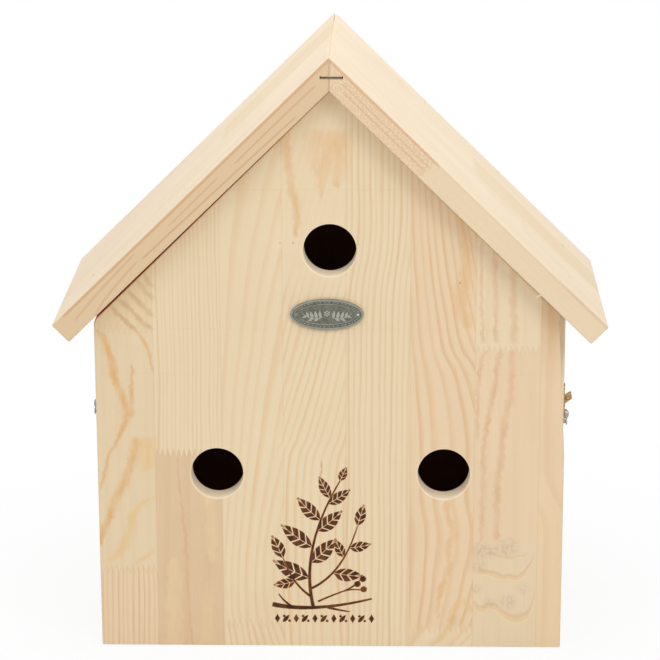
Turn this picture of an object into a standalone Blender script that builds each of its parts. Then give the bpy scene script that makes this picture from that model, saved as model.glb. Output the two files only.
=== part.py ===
"""A gabled pine nest box for sparrows, with three entry holes, a lift-off front and two turn hooks.

The box stands on its floor with +Z up and its front looks along -Y. The origin is in the middle of the
footprint, on the ground. Lengths are in metres.
"""

import math

import bmesh
import bpy
from mathutils import Matrix, Vector

# The box's boards
board_thickness = 0.015
body_width = 0.2928
body_depth = 0.1548
wall_height = 0.2194
lower_chamber_height = 0.135
edge_rounding = 0.0008

# The roof
roof_pitch = math.radians(44.3)
roof_thickness = 0.015
roof_overhang = 0.0117
eave_overhang = 0.0201

# The gaps that keep touching pieces apart
joint_gap = 0.0003
sheet_play = 0.0002

# The front board: it stands a little off the ground, its right edge tapers, and it falls short of the
# roof by a gap that widens from the apex to the eaves
front_lift = 0.0006
front_apex_gap = 0.0013
front_left_gap = 0.003
front_right_gap = 0.0024
front_right_taper = 0.0049
front_taper_height = 0.0896
front_worn_corner = 0.0015

# The entry holes: heights are over the floor of each chamber
entry_radius = 0.0164
entry_rounding = 0.0008
upper_entry_height = 0.0964
lower_entry_height = 0.1018
lower_entry_shift = 0.0019

# The dowels that locate the front board on the floor's front edge
dowel_radius = 0.003
dowel_in_floor = 0.014
dowel_in_front = 0.008
dowel_inset = 0.032
dowel_clearance = 0.0003

# The oval badge and its two pins
badge_width = 0.0454
badge_height = 0.0196
badge_thickness = 0.0014
badge_rim = 0.0013
badge_recess = 0.0005
badge_below_entry = 0.0405
badge_shift = -0.0018
badge_pin_inset = 0.0036
badge_pin_radius = 0.0005
badge_pin_head_radius = 0.0009
badge_pin_head_height = 0.0006
badge_pin_length = 0.008
badge_pin_crown_radius = 0.7
badge_pin_crown_height = 0.2

# The turn hooks, cut from sheet and pivoting on a pan-head screw
left_hook_height = 0.1553
right_hook_height = 0.1497
hook_thickness = 0.0008
hook_half_width = 0.004
hook_reach = 0.016
hook_tip = 0.0025
notch_clearance = 0.0005
tab_foot = 0.005
tab_width = 0.0062
tab_rise = 0.004
tab_top_rise = 0.7
tab_point_share = 0.15
left_tab_reach = 0.002
right_tab_reach = 0.0048

# The pivot screws and catch pins
screw_radius = 0.00175
screw_head_radius = 0.0031
screw_head_height = 0.0027
screw_length = 0.012
screw_slot_width = 0.0008
screw_slot_depth = 0.0009
screw_cross_share = 0.55
screw_crown_share = 0.7
screw_crown_steps = 5
pin_radius = 0.0012
pin_head_radius = 0.0022
pin_head_height = 0.0006
pin_length = 0.012

# The brads
brad_radius = 0.0007
brad_head_radius = 0.0009
brad_head_height = 0.0008
brad_point = 0.002
brad_set = 0.0003
brad_grip = 0.018
roof_brad_grip = 0.008
roof_brad_front_inset = 0.0145
roof_brad_back_inset = 0.029
edge_brad_inset = 0.03

# The staples across the mitre of the roof
staple_wire_radius = 0.00052
staple_crown = 0.013
staple_leg = 0.016
staple_above_apex = 0.0084
staple_shift = 0.0015

# Openings in the back and the floor
keyhole_radius = 0.0055
keyhole_slot_radius = 0.0028
keyhole_slot_length = 0.014
keyhole_below_apex = 0.062
drain_radius = 0.004

# How finely round shapes are faceted
entry_segments = 64
entry_rim_steps = 3
edge_steps = 2
badge_segments = 36
hole_segments = 16
brad_segments = 8
outward_reach = 0.004

PINE = ((0.83, 0.66, 0.44), 0.62, 0.0)
BEECH = ((0.78, 0.58, 0.38), 0.6, 0.0)
ZINC = ((0.62, 0.62, 0.6), 0.34, 1.0)
YELLOW_ZINC = ((0.6, 0.47, 0.28), 0.38, 1.0)
PEWTER = ((0.42, 0.43, 0.42), 0.42, 1.0)
DARK_STEEL = ((0.2, 0.2, 0.21), 0.4, 1.0)

# Places that follow from the sizes above
half_width = body_width / 2
slope = math.tan(roof_pitch)
inner_apex = wall_height + half_width * slope
outer_apex = inner_apex + roof_thickness / math.cos(roof_pitch)
roof_slope_length = half_width / math.cos(roof_pitch) + roof_thickness * slope + eave_overhang
seat_drop = joint_gap / math.cos(roof_pitch)
roof_depth = body_depth + roof_overhang
roof_front = -roof_depth / 2
front_face = roof_front + roof_overhang
back_face = front_face + body_depth
side_front = front_face + board_thickness + joint_gap
side_back = back_face - board_thickness - joint_gap
inner_half_width = half_width - board_thickness - joint_gap
shelf_bottom = board_thickness + lower_chamber_height
shelf_top = shelf_bottom + board_thickness
divider_half = board_thickness / 2
wall_middle = half_width - board_thickness / 2
chamber_middle = (divider_half + inner_half_width) / 2
upper_entry_z = shelf_top + upper_entry_height
lower_entry_z = board_thickness + lower_entry_height
hook_inner = half_width + sheet_play
hook_outer = hook_inner + hook_thickness
catch_y = front_face + board_thickness / 2
pivot_y = catch_y + hook_reach


def clear_scene():
    for obj in list(bpy.data.objects):
        bpy.data.objects.remove(obj, do_unlink=True)


def new_collection(name):
    collection = bpy.data.collections.new(name)
    bpy.context.scene.collection.children.link(collection)
    return collection


clear_scene()
parts = new_collection("sparrow_nest_box")
cutters = new_collection("cutters")


def finish(obj, look):
    """Gives an object a material of its own."""
    colour, roughness, metallic = look
    material = bpy.data.materials.new(obj.name + "_finish")
    material.use_nodes = True
    shader = material.node_tree.nodes["Principled BSDF"]
    shader.inputs["Base Color"].default_value = (*colour, 1)
    shader.inputs["Roughness"].default_value = roughness
    shader.inputs["Metallic"].default_value = metallic
    obj.data.materials.append(material)


def as_piece(obj, look):
    parts.objects.link(obj)
    finish(obj, look)
    return obj


def as_cutter(obj):
    cutters.objects.link(obj)
    obj.hide_render = True
    obj.display_type = "WIRE"
    return obj


def mesh_of(curve_object):
    """Turns a filled curve into a mesh object with its caps welded on."""
    bpy.context.scene.collection.objects.link(curve_object)
    graph = bpy.context.evaluated_depsgraph_get()
    mesh = bpy.data.meshes.new_from_object(curve_object.evaluated_get(graph))
    shape = bmesh.new()
    shape.from_mesh(mesh)
    bmesh.ops.remove_doubles(shape, verts=shape.verts, dist=1e-6)
    bmesh.ops.recalc_face_normals(shape, faces=shape.faces)
    shape.to_mesh(mesh)
    shape.free()
    name, place = curve_object.name, curve_object.matrix_world.copy()
    bpy.data.objects.remove(curve_object, do_unlink=True)
    made = bpy.data.objects.new(name, mesh)
    made.matrix_world = place
    return made


def slab(name, outline, thickness, place):
    """A flat outline, given as (across, up) points, with half its thickness on each side of it."""
    curve = bpy.data.curves.new(name, "CURVE")
    curve.dimensions = "2D"
    curve.fill_mode = "BOTH"
    curve.extrude = thickness / 2
    spline = curve.splines.new("POLY")
    spline.points.add(len(outline) - 1)
    for point, (across, up) in zip(spline.points, outline):
        point.co = (across, up, 0, 1)
    spline.use_cyclic_u = True
    flat = bpy.data.objects.new(name, curve)
    flat.matrix_world = place
    return mesh_of(flat)


def block(name, low, high):
    """A box between two corners, with its origin at its middle."""
    low, high = Vector(low), Vector(high)
    shape = bmesh.new()
    bmesh.ops.create_cube(shape, size=1)
    bmesh.ops.scale(shape, verts=shape.verts, vec=high - low)
    mesh = bpy.data.meshes.new(name)
    shape.to_mesh(mesh)
    shape.free()
    made = bpy.data.objects.new(name, mesh)
    made.location = (low + high) / 2
    return made


def facing(point, direction):
    """A place at a point, with its own Z along a direction."""
    turn = Vector(direction).to_track_quat("Z", "Y").to_matrix().to_4x4()
    return Matrix.Translation(point) @ turn


def upright(y):
    """A place for an outline drawn in X and Z, at a distance along Y."""
    return Matrix.Translation((0, y, 0)) @ Matrix.Rotation(math.pi / 2, 4, "X")


def turned(name, profile, segments, place):
    """A profile of (radius, height) points, from top to bottom, turned about its own Z."""
    mesh = bpy.data.meshes.new(name)
    mesh.from_pydata([(r, 0, h) for r, h in profile], [(i, i + 1) for i in range(len(profile) - 1)], [])
    made = bpy.data.objects.new(name, mesh)
    made.matrix_world = place
    screw = made.modifiers.new("turn", "SCREW")
    screw.steps = screw.render_steps = segments
    screw.use_merge_vertices = True
    screw.merge_threshold = 1e-5
    screw.use_smooth_shade = False
    return made


def bore(name, start, direction, length, radius, segments):
    """A cutter for a round hole that starts at a point and runs along a direction."""
    profile = [(0, length), (radius, length), (radius, 0), (0, 0)]
    return as_cutter(turned(name, profile, segments, facing(start, direction)))


def cut(piece, cutter):
    modifier = piece.modifiers.new(cutter.name, "BOOLEAN")
    modifier.operation = "DIFFERENCE"
    modifier.solver = "EXACT"
    modifier.object = cutter
    return piece


def ease_edges(piece, width=None):
    """Takes the sharpness off a board's long edges, before anything is bored in it."""
    bevel = piece.modifiers.new("eased_edges", "BEVEL")
    bevel.width = edge_rounding if width is None else width
    bevel.segments = edge_steps
    bevel.limit_method = "ANGLE"
    return piece


def arc(centre, radius, start, end, steps):
    """Points of an arc, from a start angle to an end angle in degrees."""
    angles = [math.radians(start + (end - start) * i / steps) for i in range(steps + 1)]
    return [(centre[0] + radius * math.cos(a), centre[1] + radius * math.sin(a)) for a in angles]


def ellipse(width, height, steps):
    turns = [2 * math.pi * i / steps for i in range(steps)]
    return [(width / 2 * math.cos(a), height / 2 * math.sin(a)) for a in turns]


def under_roof(x):
    """The height of a board's top edge where it seats under the roof."""
    return inner_apex - abs(x) * slope - seat_drop


def carry(parent, *children):
    """Parents pieces to the one that carries them, leaving them where they are."""
    bpy.context.view_layer.update()
    for child in children:
        child.parent = parent
        child.matrix_parent_inverse = parent.matrix_world.inverted()


def make_side_board(name, side):
    inner, outer = side * (half_width - board_thickness), side * half_width
    outline = [(inner, 0), (outer, 0), (outer, under_roof(outer)), (inner, under_roof(inner))]
    middle, depth = (side_front + side_back) / 2, side_back - side_front
    return as_piece(ease_edges(slab(name, outline, depth, upright(middle))), PINE)


def make_back_board():
    outline = [
        (-half_width, 0),
        (half_width, 0),
        (half_width, under_roof(half_width)),
        (0, under_roof(0)),
        (-half_width, under_roof(half_width)),
    ]
    board = slab("back_board", outline, board_thickness, upright(back_face - board_thickness / 2))
    return cut(as_piece(ease_edges(board), PINE), keyhole_cutter())


def keyhole_cutter():
    """A round hole for a screw's head, with a slot above it for the shank."""
    side_angle = math.degrees(math.acos(keyhole_slot_radius / keyhole_radius))
    top = keyhole_slot_length
    outline = arc((0, 0), keyhole_radius, 180 - side_angle, 360 + side_angle, 20)
    outline += arc((0, top), keyhole_slot_radius, 0, 180, 8)
    place = Matrix.Translation((0, 0, inner_apex - keyhole_below_apex)) @ upright(back_face)
    return as_cutter(slab("keyhole_cutter", outline, 4 * board_thickness, place))


def make_front_board():
    """The overlaid front: its right edge tapers near the top and its slopes stand off the roof."""
    taper_foot = wall_height - front_taper_height
    right_top = half_width - front_right_taper
    left_eave = under_roof(half_width) - front_left_gap
    outline = [
        (-half_width, front_lift),
        (half_width, front_lift),
        (half_width, taper_foot),
        (right_top, under_roof(right_top) - front_right_gap),
        (0, under_roof(0) - front_apex_gap),
        (-half_width + front_worn_corner, left_eave + front_worn_corner * slope),
        (-half_width, left_eave - front_worn_corner),
    ]
    board = slab("front_board", outline, board_thickness, upright(front_face + board_thickness / 2))
    as_piece(ease_edges(board), PINE)
    lower_x = chamber_middle + lower_entry_shift
    for name, x, z in (
        ("upper_entry", 0, upper_entry_z),
        ("left_entry", -lower_x, lower_entry_z),
        ("right_entry", lower_x, lower_entry_z),
    ):
        cut(board, entry_cutter(name, x, z))
    return board


def entry_cutter(name, x, z):
    """An entry hole with its rim rounded off at the front face."""
    through = 2 * board_thickness
    widest = entry_radius + entry_rounding
    rim = arc((widest, -entry_rounding), entry_rounding, 100, 180, entry_rim_steps)
    outside = [(0, outward_reach), (widest + outward_reach, outward_reach)]
    profile = outside + rim + [(entry_radius, -through), (0, -through)]
    place = facing((x, front_face, z), (0, -1, 0))
    return as_cutter(turned(name + "_cutter", profile, entry_segments, place))


def make_floor_board():
    floor = block(
        "floor_board",
        (-inner_half_width, side_front, 0),
        (inner_half_width, side_back, board_thickness - joint_gap),
    )
    as_piece(ease_edges(floor), PINE)
    for name, x in (("left_drain_cutter", -chamber_middle), ("right_drain_cutter", chamber_middle)):
        start = (x, 0, -board_thickness)
        cut(floor, bore(name, start, (0, 0, 1), 3 * board_thickness, drain_radius, hole_segments))
    return floor


def make_shelf():
    shelf = block(
        "chamber_shelf",
        (-inner_half_width, side_front, shelf_bottom),
        (inner_half_width, side_back, shelf_top),
    )
    return as_piece(ease_edges(shelf), PINE)


def make_divider():
    divider = block(
        "chamber_divider",
        (-divider_half, side_front, board_thickness),
        (divider_half, side_back, shelf_bottom - joint_gap),
    )
    return as_piece(ease_edges(divider), PINE)


def make_roof_board(name, side):
    """One slope of the roof, mitred where it meets the other at the ridge."""
    down = Vector((side * math.cos(roof_pitch), -math.sin(roof_pitch)))
    outward = Vector((side * math.sin(roof_pitch), math.cos(roof_pitch)))
    ridge = Vector((0, outer_apex))
    half_gap = joint_gap / 2 / math.cos(roof_pitch)
    upper_eave = ridge + down * roof_slope_length
    outline = [
        ridge + down * half_gap,
        upper_eave,
        upper_eave - outward * roof_thickness,
        Vector((0, inner_apex)) + down * half_gap,
    ]
    return as_piece(ease_edges(slab(name, outline, roof_depth, upright(0))), PINE)


def make_staple(name, end, roof_boards):
    """A staple across the mitre, with its crown sunk flush in the end grain at one end of the roof."""
    inward = -end
    half_crown = staple_crown / 2 - staple_wire_radius
    z = inner_apex + staple_above_apex
    crown_y = end * (roof_depth / 2 - staple_wire_radius - sheet_play)
    leg_y = crown_y + inward * staple_leg
    route = [(-half_crown, leg_y), (-half_crown, crown_y), (half_crown, crown_y), (half_crown, leg_y)]
    curve = bpy.data.curves.new(name, "CURVE")
    curve.dimensions = "3D"
    curve.bevel_depth = staple_wire_radius
    curve.bevel_resolution = 1
    curve.use_fill_caps = True
    spline = curve.splines.new("POLY")
    spline.points.add(len(route) - 1)
    for point, (x, y) in zip(spline.points, route):
        point.co = (x + staple_shift, y, z, 1)
    staple = as_piece(mesh_of(bpy.data.objects.new(name, curve)), ZINC)

    room = staple_wire_radius * math.sqrt(2) + joint_gap
    outside = end * (roof_depth / 2 + outward_reach)
    groove_floor = crown_y + inward * room
    low = (staple_shift - half_crown - room, min(outside, groove_floor), z - room)
    high = (staple_shift + half_crown + room, max(outside, groove_floor), z + room)
    groove = as_cutter(block(name + "_groove", low, high))
    for board in roof_boards:
        cut(board, groove)
    for x, board in zip((-half_crown, half_crown), roof_boards):
        start = (x + staple_shift, outside, z)
        length = abs(leg_y - outside) + joint_gap
        leg_bore = bore(f"{name}_{board.name}_bore", start, (0, inward, 0), length, room, brad_segments)
        cut(board, leg_bore)
    return staple


def make_brad(name, surface, direction, grip, boards):
    """A brad driven from a point on a board's surface, along a direction, with its bore in each board."""
    direction = Vector(direction).normalized()
    length = board_thickness + grip
    profile = [
        (0, 0),
        (brad_head_radius, 0),
        (brad_head_radius, -brad_head_height),
        (brad_radius, -brad_head_height),
        (brad_radius, -length + brad_point),
        (0, -length),
    ]
    head = Vector(surface) + direction * brad_set
    as_piece(turned(name, profile, brad_segments, facing(head, -direction)), DARK_STEEL)
    start = Vector(surface) - direction * outward_reach
    depth = outward_reach + brad_set + length + joint_gap
    hole = bore(name + "_bore", start, direction, depth, brad_head_radius + joint_gap, brad_segments)
    for board in boards:
        cut(board, hole)


def make_roof_brads(roof, walls, back):
    """Three brads down into each side board and two into each slope of the back board."""
    first, last = side_front + roof_brad_front_inset, side_back - roof_brad_back_inset
    outward = Vector((math.sin(roof_pitch), 0, math.cos(roof_pitch)))
    for word, side, board, wall in (("left", -1, roof[0], walls[0]), ("right", 1, roof[1], walls[1])):
        up = Vector((side * outward.x, 0, outward.z))
        for number, y in enumerate((first, (first + last) / 2, last), 1):
            seat = Vector((side * wall_middle, y, inner_apex - wall_middle * slope))
            surface = seat + up * roof_thickness
            make_brad(f"{word}_roof_brad_{number}", surface, -up, roof_brad_grip, (board, wall))
        for number, share in enumerate((1 / 3, 2 / 3), 1):
            x = side * half_width * share
            seat = Vector((x, back_face - board_thickness / 2, inner_apex - abs(x) * slope))
            surface = seat + up * roof_thickness
            make_brad(f"{word}_gable_brad_{number}", surface, -up, brad_grip, (board, back))


def make_wall_brads(walls, back, floor, shelf, divider):
    """Brads through the back into the side boards, and through the side boards into floor and shelf."""
    rows = (side_front + edge_brad_inset, side_back - edge_brad_inset)
    for word, side, wall in (("left", -1, walls[0]), ("right", 1, walls[1])):
        for number, z in enumerate((edge_brad_inset, wall_height - edge_brad_inset), 1):
            surface = (side * wall_middle, back_face, z)
            make_brad(f"{word}_back_brad_{number}", surface, (0, -1, 0), brad_grip, (back, wall))
        for number, y in enumerate(rows, 1):
            for place, board, z in (
                ("floor", floor, board_thickness / 2),
                ("shelf", shelf, (shelf_bottom + shelf_top) / 2),
            ):
                surface = (side * half_width, y, z)
                make_brad(f"{word}_{place}_brad_{number}", surface, (-side, 0, 0), brad_grip, (wall, board))
    for number, y in enumerate(rows, 1):
        make_brad(f"divider_foot_brad_{number}", (0, y, 0), (0, 0, 1), brad_grip, (floor, divider))
        make_brad(f"divider_top_brad_{number}", (0, y, shelf_top), (0, 0, -1), brad_grip, (shelf, divider))


def make_dowel(name, x, floor, front):
    """A dowel in the floor's front edge, over which the front board is pushed."""
    z = board_thickness / 2
    seam = front_face + board_thickness
    front_end, back_end = seam - dowel_in_front, seam + dowel_in_floor
    chamfer = dowel_radius / 4
    length = back_end - front_end
    profile = [
        (0, 0),
        (dowel_radius - chamfer, 0),
        (dowel_radius, -chamfer),
        (dowel_radius, chamfer - length),
        (dowel_radius - chamfer, -length),
        (0, -length),
    ]
    dowel = turned(name, profile, hole_segments, facing((x, front_end, z), (0, -1, 0)))
    as_piece(dowel, BEECH)
    start = (x, back_end + dowel_clearance, z)
    depth = length + 2 * dowel_clearance
    hole = bore(name + "_bore", start, (0, -1, 0), depth, dowel_radius + dowel_clearance, hole_segments)
    cut(floor, hole)
    cut(front, hole)
    return dowel


def make_badge(front):
    """An oval cast badge with a raised rim and a bare field, held by two round-head pins."""
    centre_z = upper_entry_z - badge_below_entry
    back = front_face - joint_gap
    middle = back - badge_thickness / 2
    shift = Matrix.Translation((badge_shift, 0, centre_z))
    plate = slab("badge_plate", ellipse(badge_width, badge_height, badge_segments), badge_thickness,
                 shift @ upright(middle))
    as_piece(plate, PEWTER)
    field = ellipse(badge_width - 2 * badge_rim, badge_height - 2 * badge_rim, badge_segments)
    field_y = back - badge_thickness + badge_recess
    recess = slab("badge_recess_cutter", field, 2 * badge_thickness, shift @ upright(field_y - badge_thickness))
    cut(plate, as_cutter(recess))
    offset = badge_width / 2 - badge_pin_inset
    pins = []
    for name, x in (("left_badge_pin", badge_shift - offset), ("right_badge_pin", badge_shift + offset)):
        neck = -badge_pin_head_height
        profile = [
            (0, 0),
            (badge_pin_head_radius * badge_pin_crown_radius, neck * badge_pin_crown_height),
            (badge_pin_head_radius, neck),
            (badge_pin_radius, neck),
            (badge_pin_radius, neck - badge_pin_length),
            (0, neck - badge_pin_length - badge_pin_radius),
        ]
        top = (x, field_y - sheet_play - badge_pin_head_height, centre_z)
        pins.append(as_piece(turned(name, profile, hole_segments // 2, facing(top, (0, -1, 0))), PEWTER))
        depth = badge_pin_length + badge_pin_radius + joint_gap
        start = (x, field_y - sheet_play, centre_z)
        hole = bore(name + "_bore", start, (0, 1, 0), depth, badge_pin_radius + sheet_play, brad_segments)
        cut(plate, hole)
        cut(front, hole)
    return plate, pins


def hook_outline():
    """The hook's flat outline about its pivot: a round foot, an upright arm and a notch on its front edge."""
    notch = pin_radius + notch_clearance
    tip = hook_reach + notch + hook_tip
    foot = arc((0, 0), hook_half_width, 180, 360, 12)
    head = arc((0, tip - hook_half_width), hook_half_width, 0, 180, 10)
    slot = arc((0, hook_reach), notch, 90, -90, 8)
    mouth = [(-hook_half_width, hook_reach + notch)]
    lip = [(-hook_half_width, hook_reach - notch)]
    return foot + head + mouth + slot + lip


def make_hook(name, side, height, tab_reach):
    """A turn hook at rest with its arm upright: drawn in Y and Z, with a thumb tab bent out at its back."""
    pivot = Vector((side * (hook_inner + hook_thickness / 2), pivot_y, height))
    flat = Matrix(((0, 0, 1, 0), (1, 0, 0, 0), (0, 1, 0, 0), (0, 0, 0, 1)))
    hook = slab(name, hook_outline(), hook_thickness, Matrix.Translation(pivot) @ flat)
    as_piece(hook, YELLOW_ZINC)

    fold = side * (hook_inner + hook_thickness / 2)
    edge = side * (hook_outer + tab_reach)
    leaf = [
        (fold, tab_foot),
        (edge, tab_foot + tab_rise),
        (edge - side * tab_point_share * tab_reach, tab_foot + tab_width + tab_top_rise * tab_rise),
        (fold, tab_foot + tab_width),
    ]
    leaf_y = pivot_y + hook_half_width - hook_thickness / 2
    raised = Matrix.Translation((0, 0, height)) @ upright(leaf_y)
    tab = as_cutter(slab(name + "_tab", leaf, hook_thickness, raised))
    join = hook.modifiers.new("thumb_tab", "BOOLEAN")
    join.operation = "UNION"
    join.solver = "EXACT"
    join.object = tab

    start = (side * (hook_inner - outward_reach), pivot_y, height)
    eye = bore(name + "_eye", start, (side, 0, 0), 3 * outward_reach, screw_radius + joint_gap, hole_segments)
    return cut(hook, eye)


def make_pivot_screw(name, side, height, wall):
    """A pan-head screw through the hook's eye into the side board."""
    seat = hook_outer + sheet_play
    crown = [
        (screw_head_radius * math.sin(a), -screw_head_height * (1 - math.cos(a)) * screw_crown_share)
        for a in (math.pi / 2 * step / screw_crown_steps for step in range(screw_crown_steps + 1))
    ]
    reach = seat - half_width + screw_length
    profile = crown + [
        (screw_head_radius, -screw_head_height),
        (screw_radius, -screw_head_height),
        (screw_radius, -screw_head_height - reach + 2 * screw_radius),
        (0, -screw_head_height - reach),
    ]
    top = (side * (seat + screw_head_height), pivot_y, height)
    screw = as_piece(turned(name, profile, hole_segments, facing(top, (side, 0, 0))), ZINC)
    half_slot, half_cross = screw_slot_width / 2, screw_head_radius * screw_cross_share
    inner, outer = sorted((side * (seat + screw_head_height - screw_slot_depth), side * (seat + outward_reach)))
    for word, half_y, half_z in (("long", half_cross, half_slot), ("cross", half_slot, half_cross)):
        low = (inner, pivot_y - half_y, height - half_z)
        high = (outer, pivot_y + half_y, height + half_z)
        cut(screw, as_cutter(block(f"{name}_{word}_slot", low, high)))
    start = (side * (half_width + outward_reach), pivot_y, height)
    depth = outward_reach + screw_length + joint_gap
    cut(wall, bore(name + "_bore", start, (-side, 0, 0), depth, screw_radius + joint_gap, hole_segments))
    return screw


def make_catch_pin(name, side, height, front):
    """A flat-head pin in the front board's edge, which the hook's notch drops over."""
    seat = hook_outer + sheet_play
    reach = seat - half_width + pin_length
    profile = [
        (0, 0),
        (pin_head_radius * 0.8, 0),
        (pin_head_radius, -pin_head_height / 2),
        (pin_head_radius, -pin_head_height),
        (pin_radius, -pin_head_height),
        (pin_radius, -pin_head_height - reach + pin_radius),
        (0, -pin_head_height - reach),
    ]
    top = (side * (seat + pin_head_height), catch_y, height)
    pin = as_piece(turned(name, profile, hole_segments, facing(top, (side, 0, 0))), ZINC)
    start = (side * (half_width + outward_reach), catch_y, height)
    depth = outward_reach + pin_length + joint_gap
    cut(front, bore(name + "_bore", start, (-side, 0, 0), depth, pin_radius + joint_gap, hole_segments))
    return pin


def build():
    walls = [make_side_board("left_side_board", -1), make_side_board("right_side_board", 1)]
    roof = [make_roof_board("left_roof_board", -1), make_roof_board("right_roof_board", 1)]
    back = make_back_board()
    front = make_front_board()
    floor = make_floor_board()
    shelf = make_shelf()
    divider = make_divider()
    make_staple("ridge_staple_front", -1, roof)
    make_staple("ridge_staple_back", 1, roof)
    make_roof_brads(roof, walls, back)
    make_wall_brads(walls, back, floor, shelf, divider)
    for word, side in (("left", -1), ("right", 1)):
        make_dowel(f"{word}_dowel", side * (inner_half_width - dowel_inset), floor, front)
    plate, pins = make_badge(front)
    carried = [plate, *pins]
    for word, side, height, reach, wall in (
        ("left", -1, left_hook_height, left_tab_reach, walls[0]),
        ("right", 1, right_hook_height, right_tab_reach, walls[1]),
    ):
        make_hook(f"{word}_hook", side, height, reach)
        make_pivot_screw(f"{word}_pivot_screw", side, height, wall)
        carried.append(make_catch_pin(f"{word}_catch_pin", side, height, front))
    carry(front, *carried)


build()
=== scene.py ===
# %% [markdown]
# # A sparrow nest box of glued pine
#
# The real box is a small gabled house of planed pine panels. Its front board lifts off, its roof is two
# boards mitred at the ridge, and a turn hook on each side holds the front. The solids of all these pieces
# already exist, so this lesson gives them their finish: the growth rings of the pine, the patina of the
# cast badge, the plating of the hooks, and a sprig burned into the front.
#
# The first step loads the solids. They come in at their real size in metres, and they stay where they are.

# %% Load the box
import math
import random

import bmesh
import bpy
from mathutils import Matrix, Vector


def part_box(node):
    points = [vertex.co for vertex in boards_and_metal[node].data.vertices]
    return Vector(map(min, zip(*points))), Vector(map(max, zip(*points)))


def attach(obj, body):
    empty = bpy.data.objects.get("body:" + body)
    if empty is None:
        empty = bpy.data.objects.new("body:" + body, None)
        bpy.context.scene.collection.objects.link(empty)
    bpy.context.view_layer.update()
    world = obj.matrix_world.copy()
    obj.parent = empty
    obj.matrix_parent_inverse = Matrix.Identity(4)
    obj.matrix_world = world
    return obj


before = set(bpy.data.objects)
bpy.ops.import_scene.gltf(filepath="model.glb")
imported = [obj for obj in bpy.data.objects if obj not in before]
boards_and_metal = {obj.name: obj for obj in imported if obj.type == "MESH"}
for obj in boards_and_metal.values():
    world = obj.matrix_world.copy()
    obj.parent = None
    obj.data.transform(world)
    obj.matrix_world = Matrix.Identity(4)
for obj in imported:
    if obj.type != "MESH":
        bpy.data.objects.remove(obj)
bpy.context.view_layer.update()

# %% [markdown]
# ## The camera
#
# The photograph was taken from a little above with a long lens, so the sides of the house hardly converge.
# The camera could be placed by eye. Here its place, dip and lens come from measuring where the corners of
# the box fall in the picture, because then every board edge lands where the photograph has it.

# %% Camera
camera_place = (0.0402, -1.7245, 0.6765)
lens_length = 151.44
film_width = 36
lens_shift = 0.0485
camera_turn = math.radians(1.394)
camera_dip = math.radians(16.395)
camera_roll = math.radians(-0.156)

scene = bpy.context.scene
scene.view_settings.view_transform = "Standard"
camera_data = bpy.data.cameras.new("photo_camera")
camera_data.sensor_width = film_width
camera_data.lens = lens_length
camera_data.shift_y = lens_shift
camera_data.dof.use_dof = False

aim = Matrix.Rotation(camera_turn, 4, "Z")
aim = aim @ Matrix.Rotation(math.pi / 2 - camera_dip, 4, "X")
aim = aim @ Matrix.Rotation(camera_roll, 4, "Z")
camera = bpy.data.objects.new("photo_camera", camera_data)
camera.matrix_world = Matrix.Translation(camera_place) @ aim
scene.collection.objects.link(camera)
scene.camera = camera
print("camera at", camera_place, "with a lens of", lens_length, "mm")

# %% [markdown]
# ## The studio
#
# The box stands on white paper under large soft lamps. A hard lamp would cut sharp shadows under the eaves,
# and the photograph has none: the front is a little darker under the right slope than under the left one,
# and both fade out slowly. That is what two wide lamps in front do, with the right one stronger, because
# each slope shades only the light from its own side. A third lamp hangs over the roof, and a weak one lights
# the back. More than half of the light on the front is thrown back by the paper, from below, where no eave
# can stop it. The paper keeps the shadow of the box. Where the camera looks at it directly it is lifted to
# white, fully so away from the box, and that lift is seen only and lights nothing.

# %% A helper for colours
def tone(red, green, blue):
    """A colour as a picture program shows it, from 0 to 255, turned into the linear light Blender uses."""
    def linear(channel):
        share = channel / 255
        return share / 12.92 if share <= 0.04045 else ((share + 0.055) / 1.055) ** 2.4
    return (linear(red), linear(green), linear(blue), 1)


print("a mid grey of 128 is", round(tone(128, 128, 128)[0], 3), "in linear light")

# %% [markdown]
# ## A shorthand for node arithmetic
#
# Wood is a solid: its rings run through a board, so they should be worked out from the place of each point
# and not painted on its faces. That takes a lot of arithmetic in nodes. It could be wired by hand in the
# shader editor. A small class whose sums and products each add one Math node keeps it readable, because the
# formula then stands in the code as one would write it on paper.

# %% A number on a wire
class Wire:
    """A number on its way through a node tree. Each sum, product or function of it adds a Math node."""

    def __init__(self, tree, socket):
        self.tree = tree
        self.socket = socket

    def math(self, operation, *others, clamp=False):
        node = self.tree.nodes.new("ShaderNodeMath")
        node.operation = operation
        node.use_clamp = clamp
        for port, value in zip(node.inputs, (self, *others)):
            feed(port, value)
        return Wire(self.tree, node.outputs[0])

    def __add__(self, other):
        return self.math("ADD", other)

    def __sub__(self, other):
        return self.math("SUBTRACT", other)

    def __mul__(self, other):
        return self.math("MULTIPLY", other)

    def __truediv__(self, other):
        return self.math("DIVIDE", other)

    def ramp(self, low, high):
        """Goes smoothly from 0, at low, to 1, at high."""
        node = self.tree.nodes.new("ShaderNodeMapRange")
        node.interpolation_type = "SMOOTHSTEP"
        feed(node.inputs["Value"], self)
        feed(node.inputs["From Min"], low)
        feed(node.inputs["From Max"], high)
        return Wire(self.tree, node.outputs["Result"])

    def between(self, low, high):
        """1 where the number lies between two others, and 0 elsewhere."""
        return self.math("GREATER_THAN", low) * self.math("LESS_THAN", high)


def feed(port, value):
    """Puts a wire or a plain value into a node's input."""
    if isinstance(value, Wire):
        value.tree.links.new(value.socket, port)
    else:
        port.default_value = value


# %% Places, noise and chance
def dot(tree, point, axis):
    """How far a point lies along an axis."""
    node = tree.nodes.new("ShaderNodeVectorMath")
    node.operation = "DOT_PRODUCT"
    tree.links.new(point, node.inputs[0])
    node.inputs[1].default_value = axis
    return Wire(tree, node.outputs["Value"])


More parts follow.
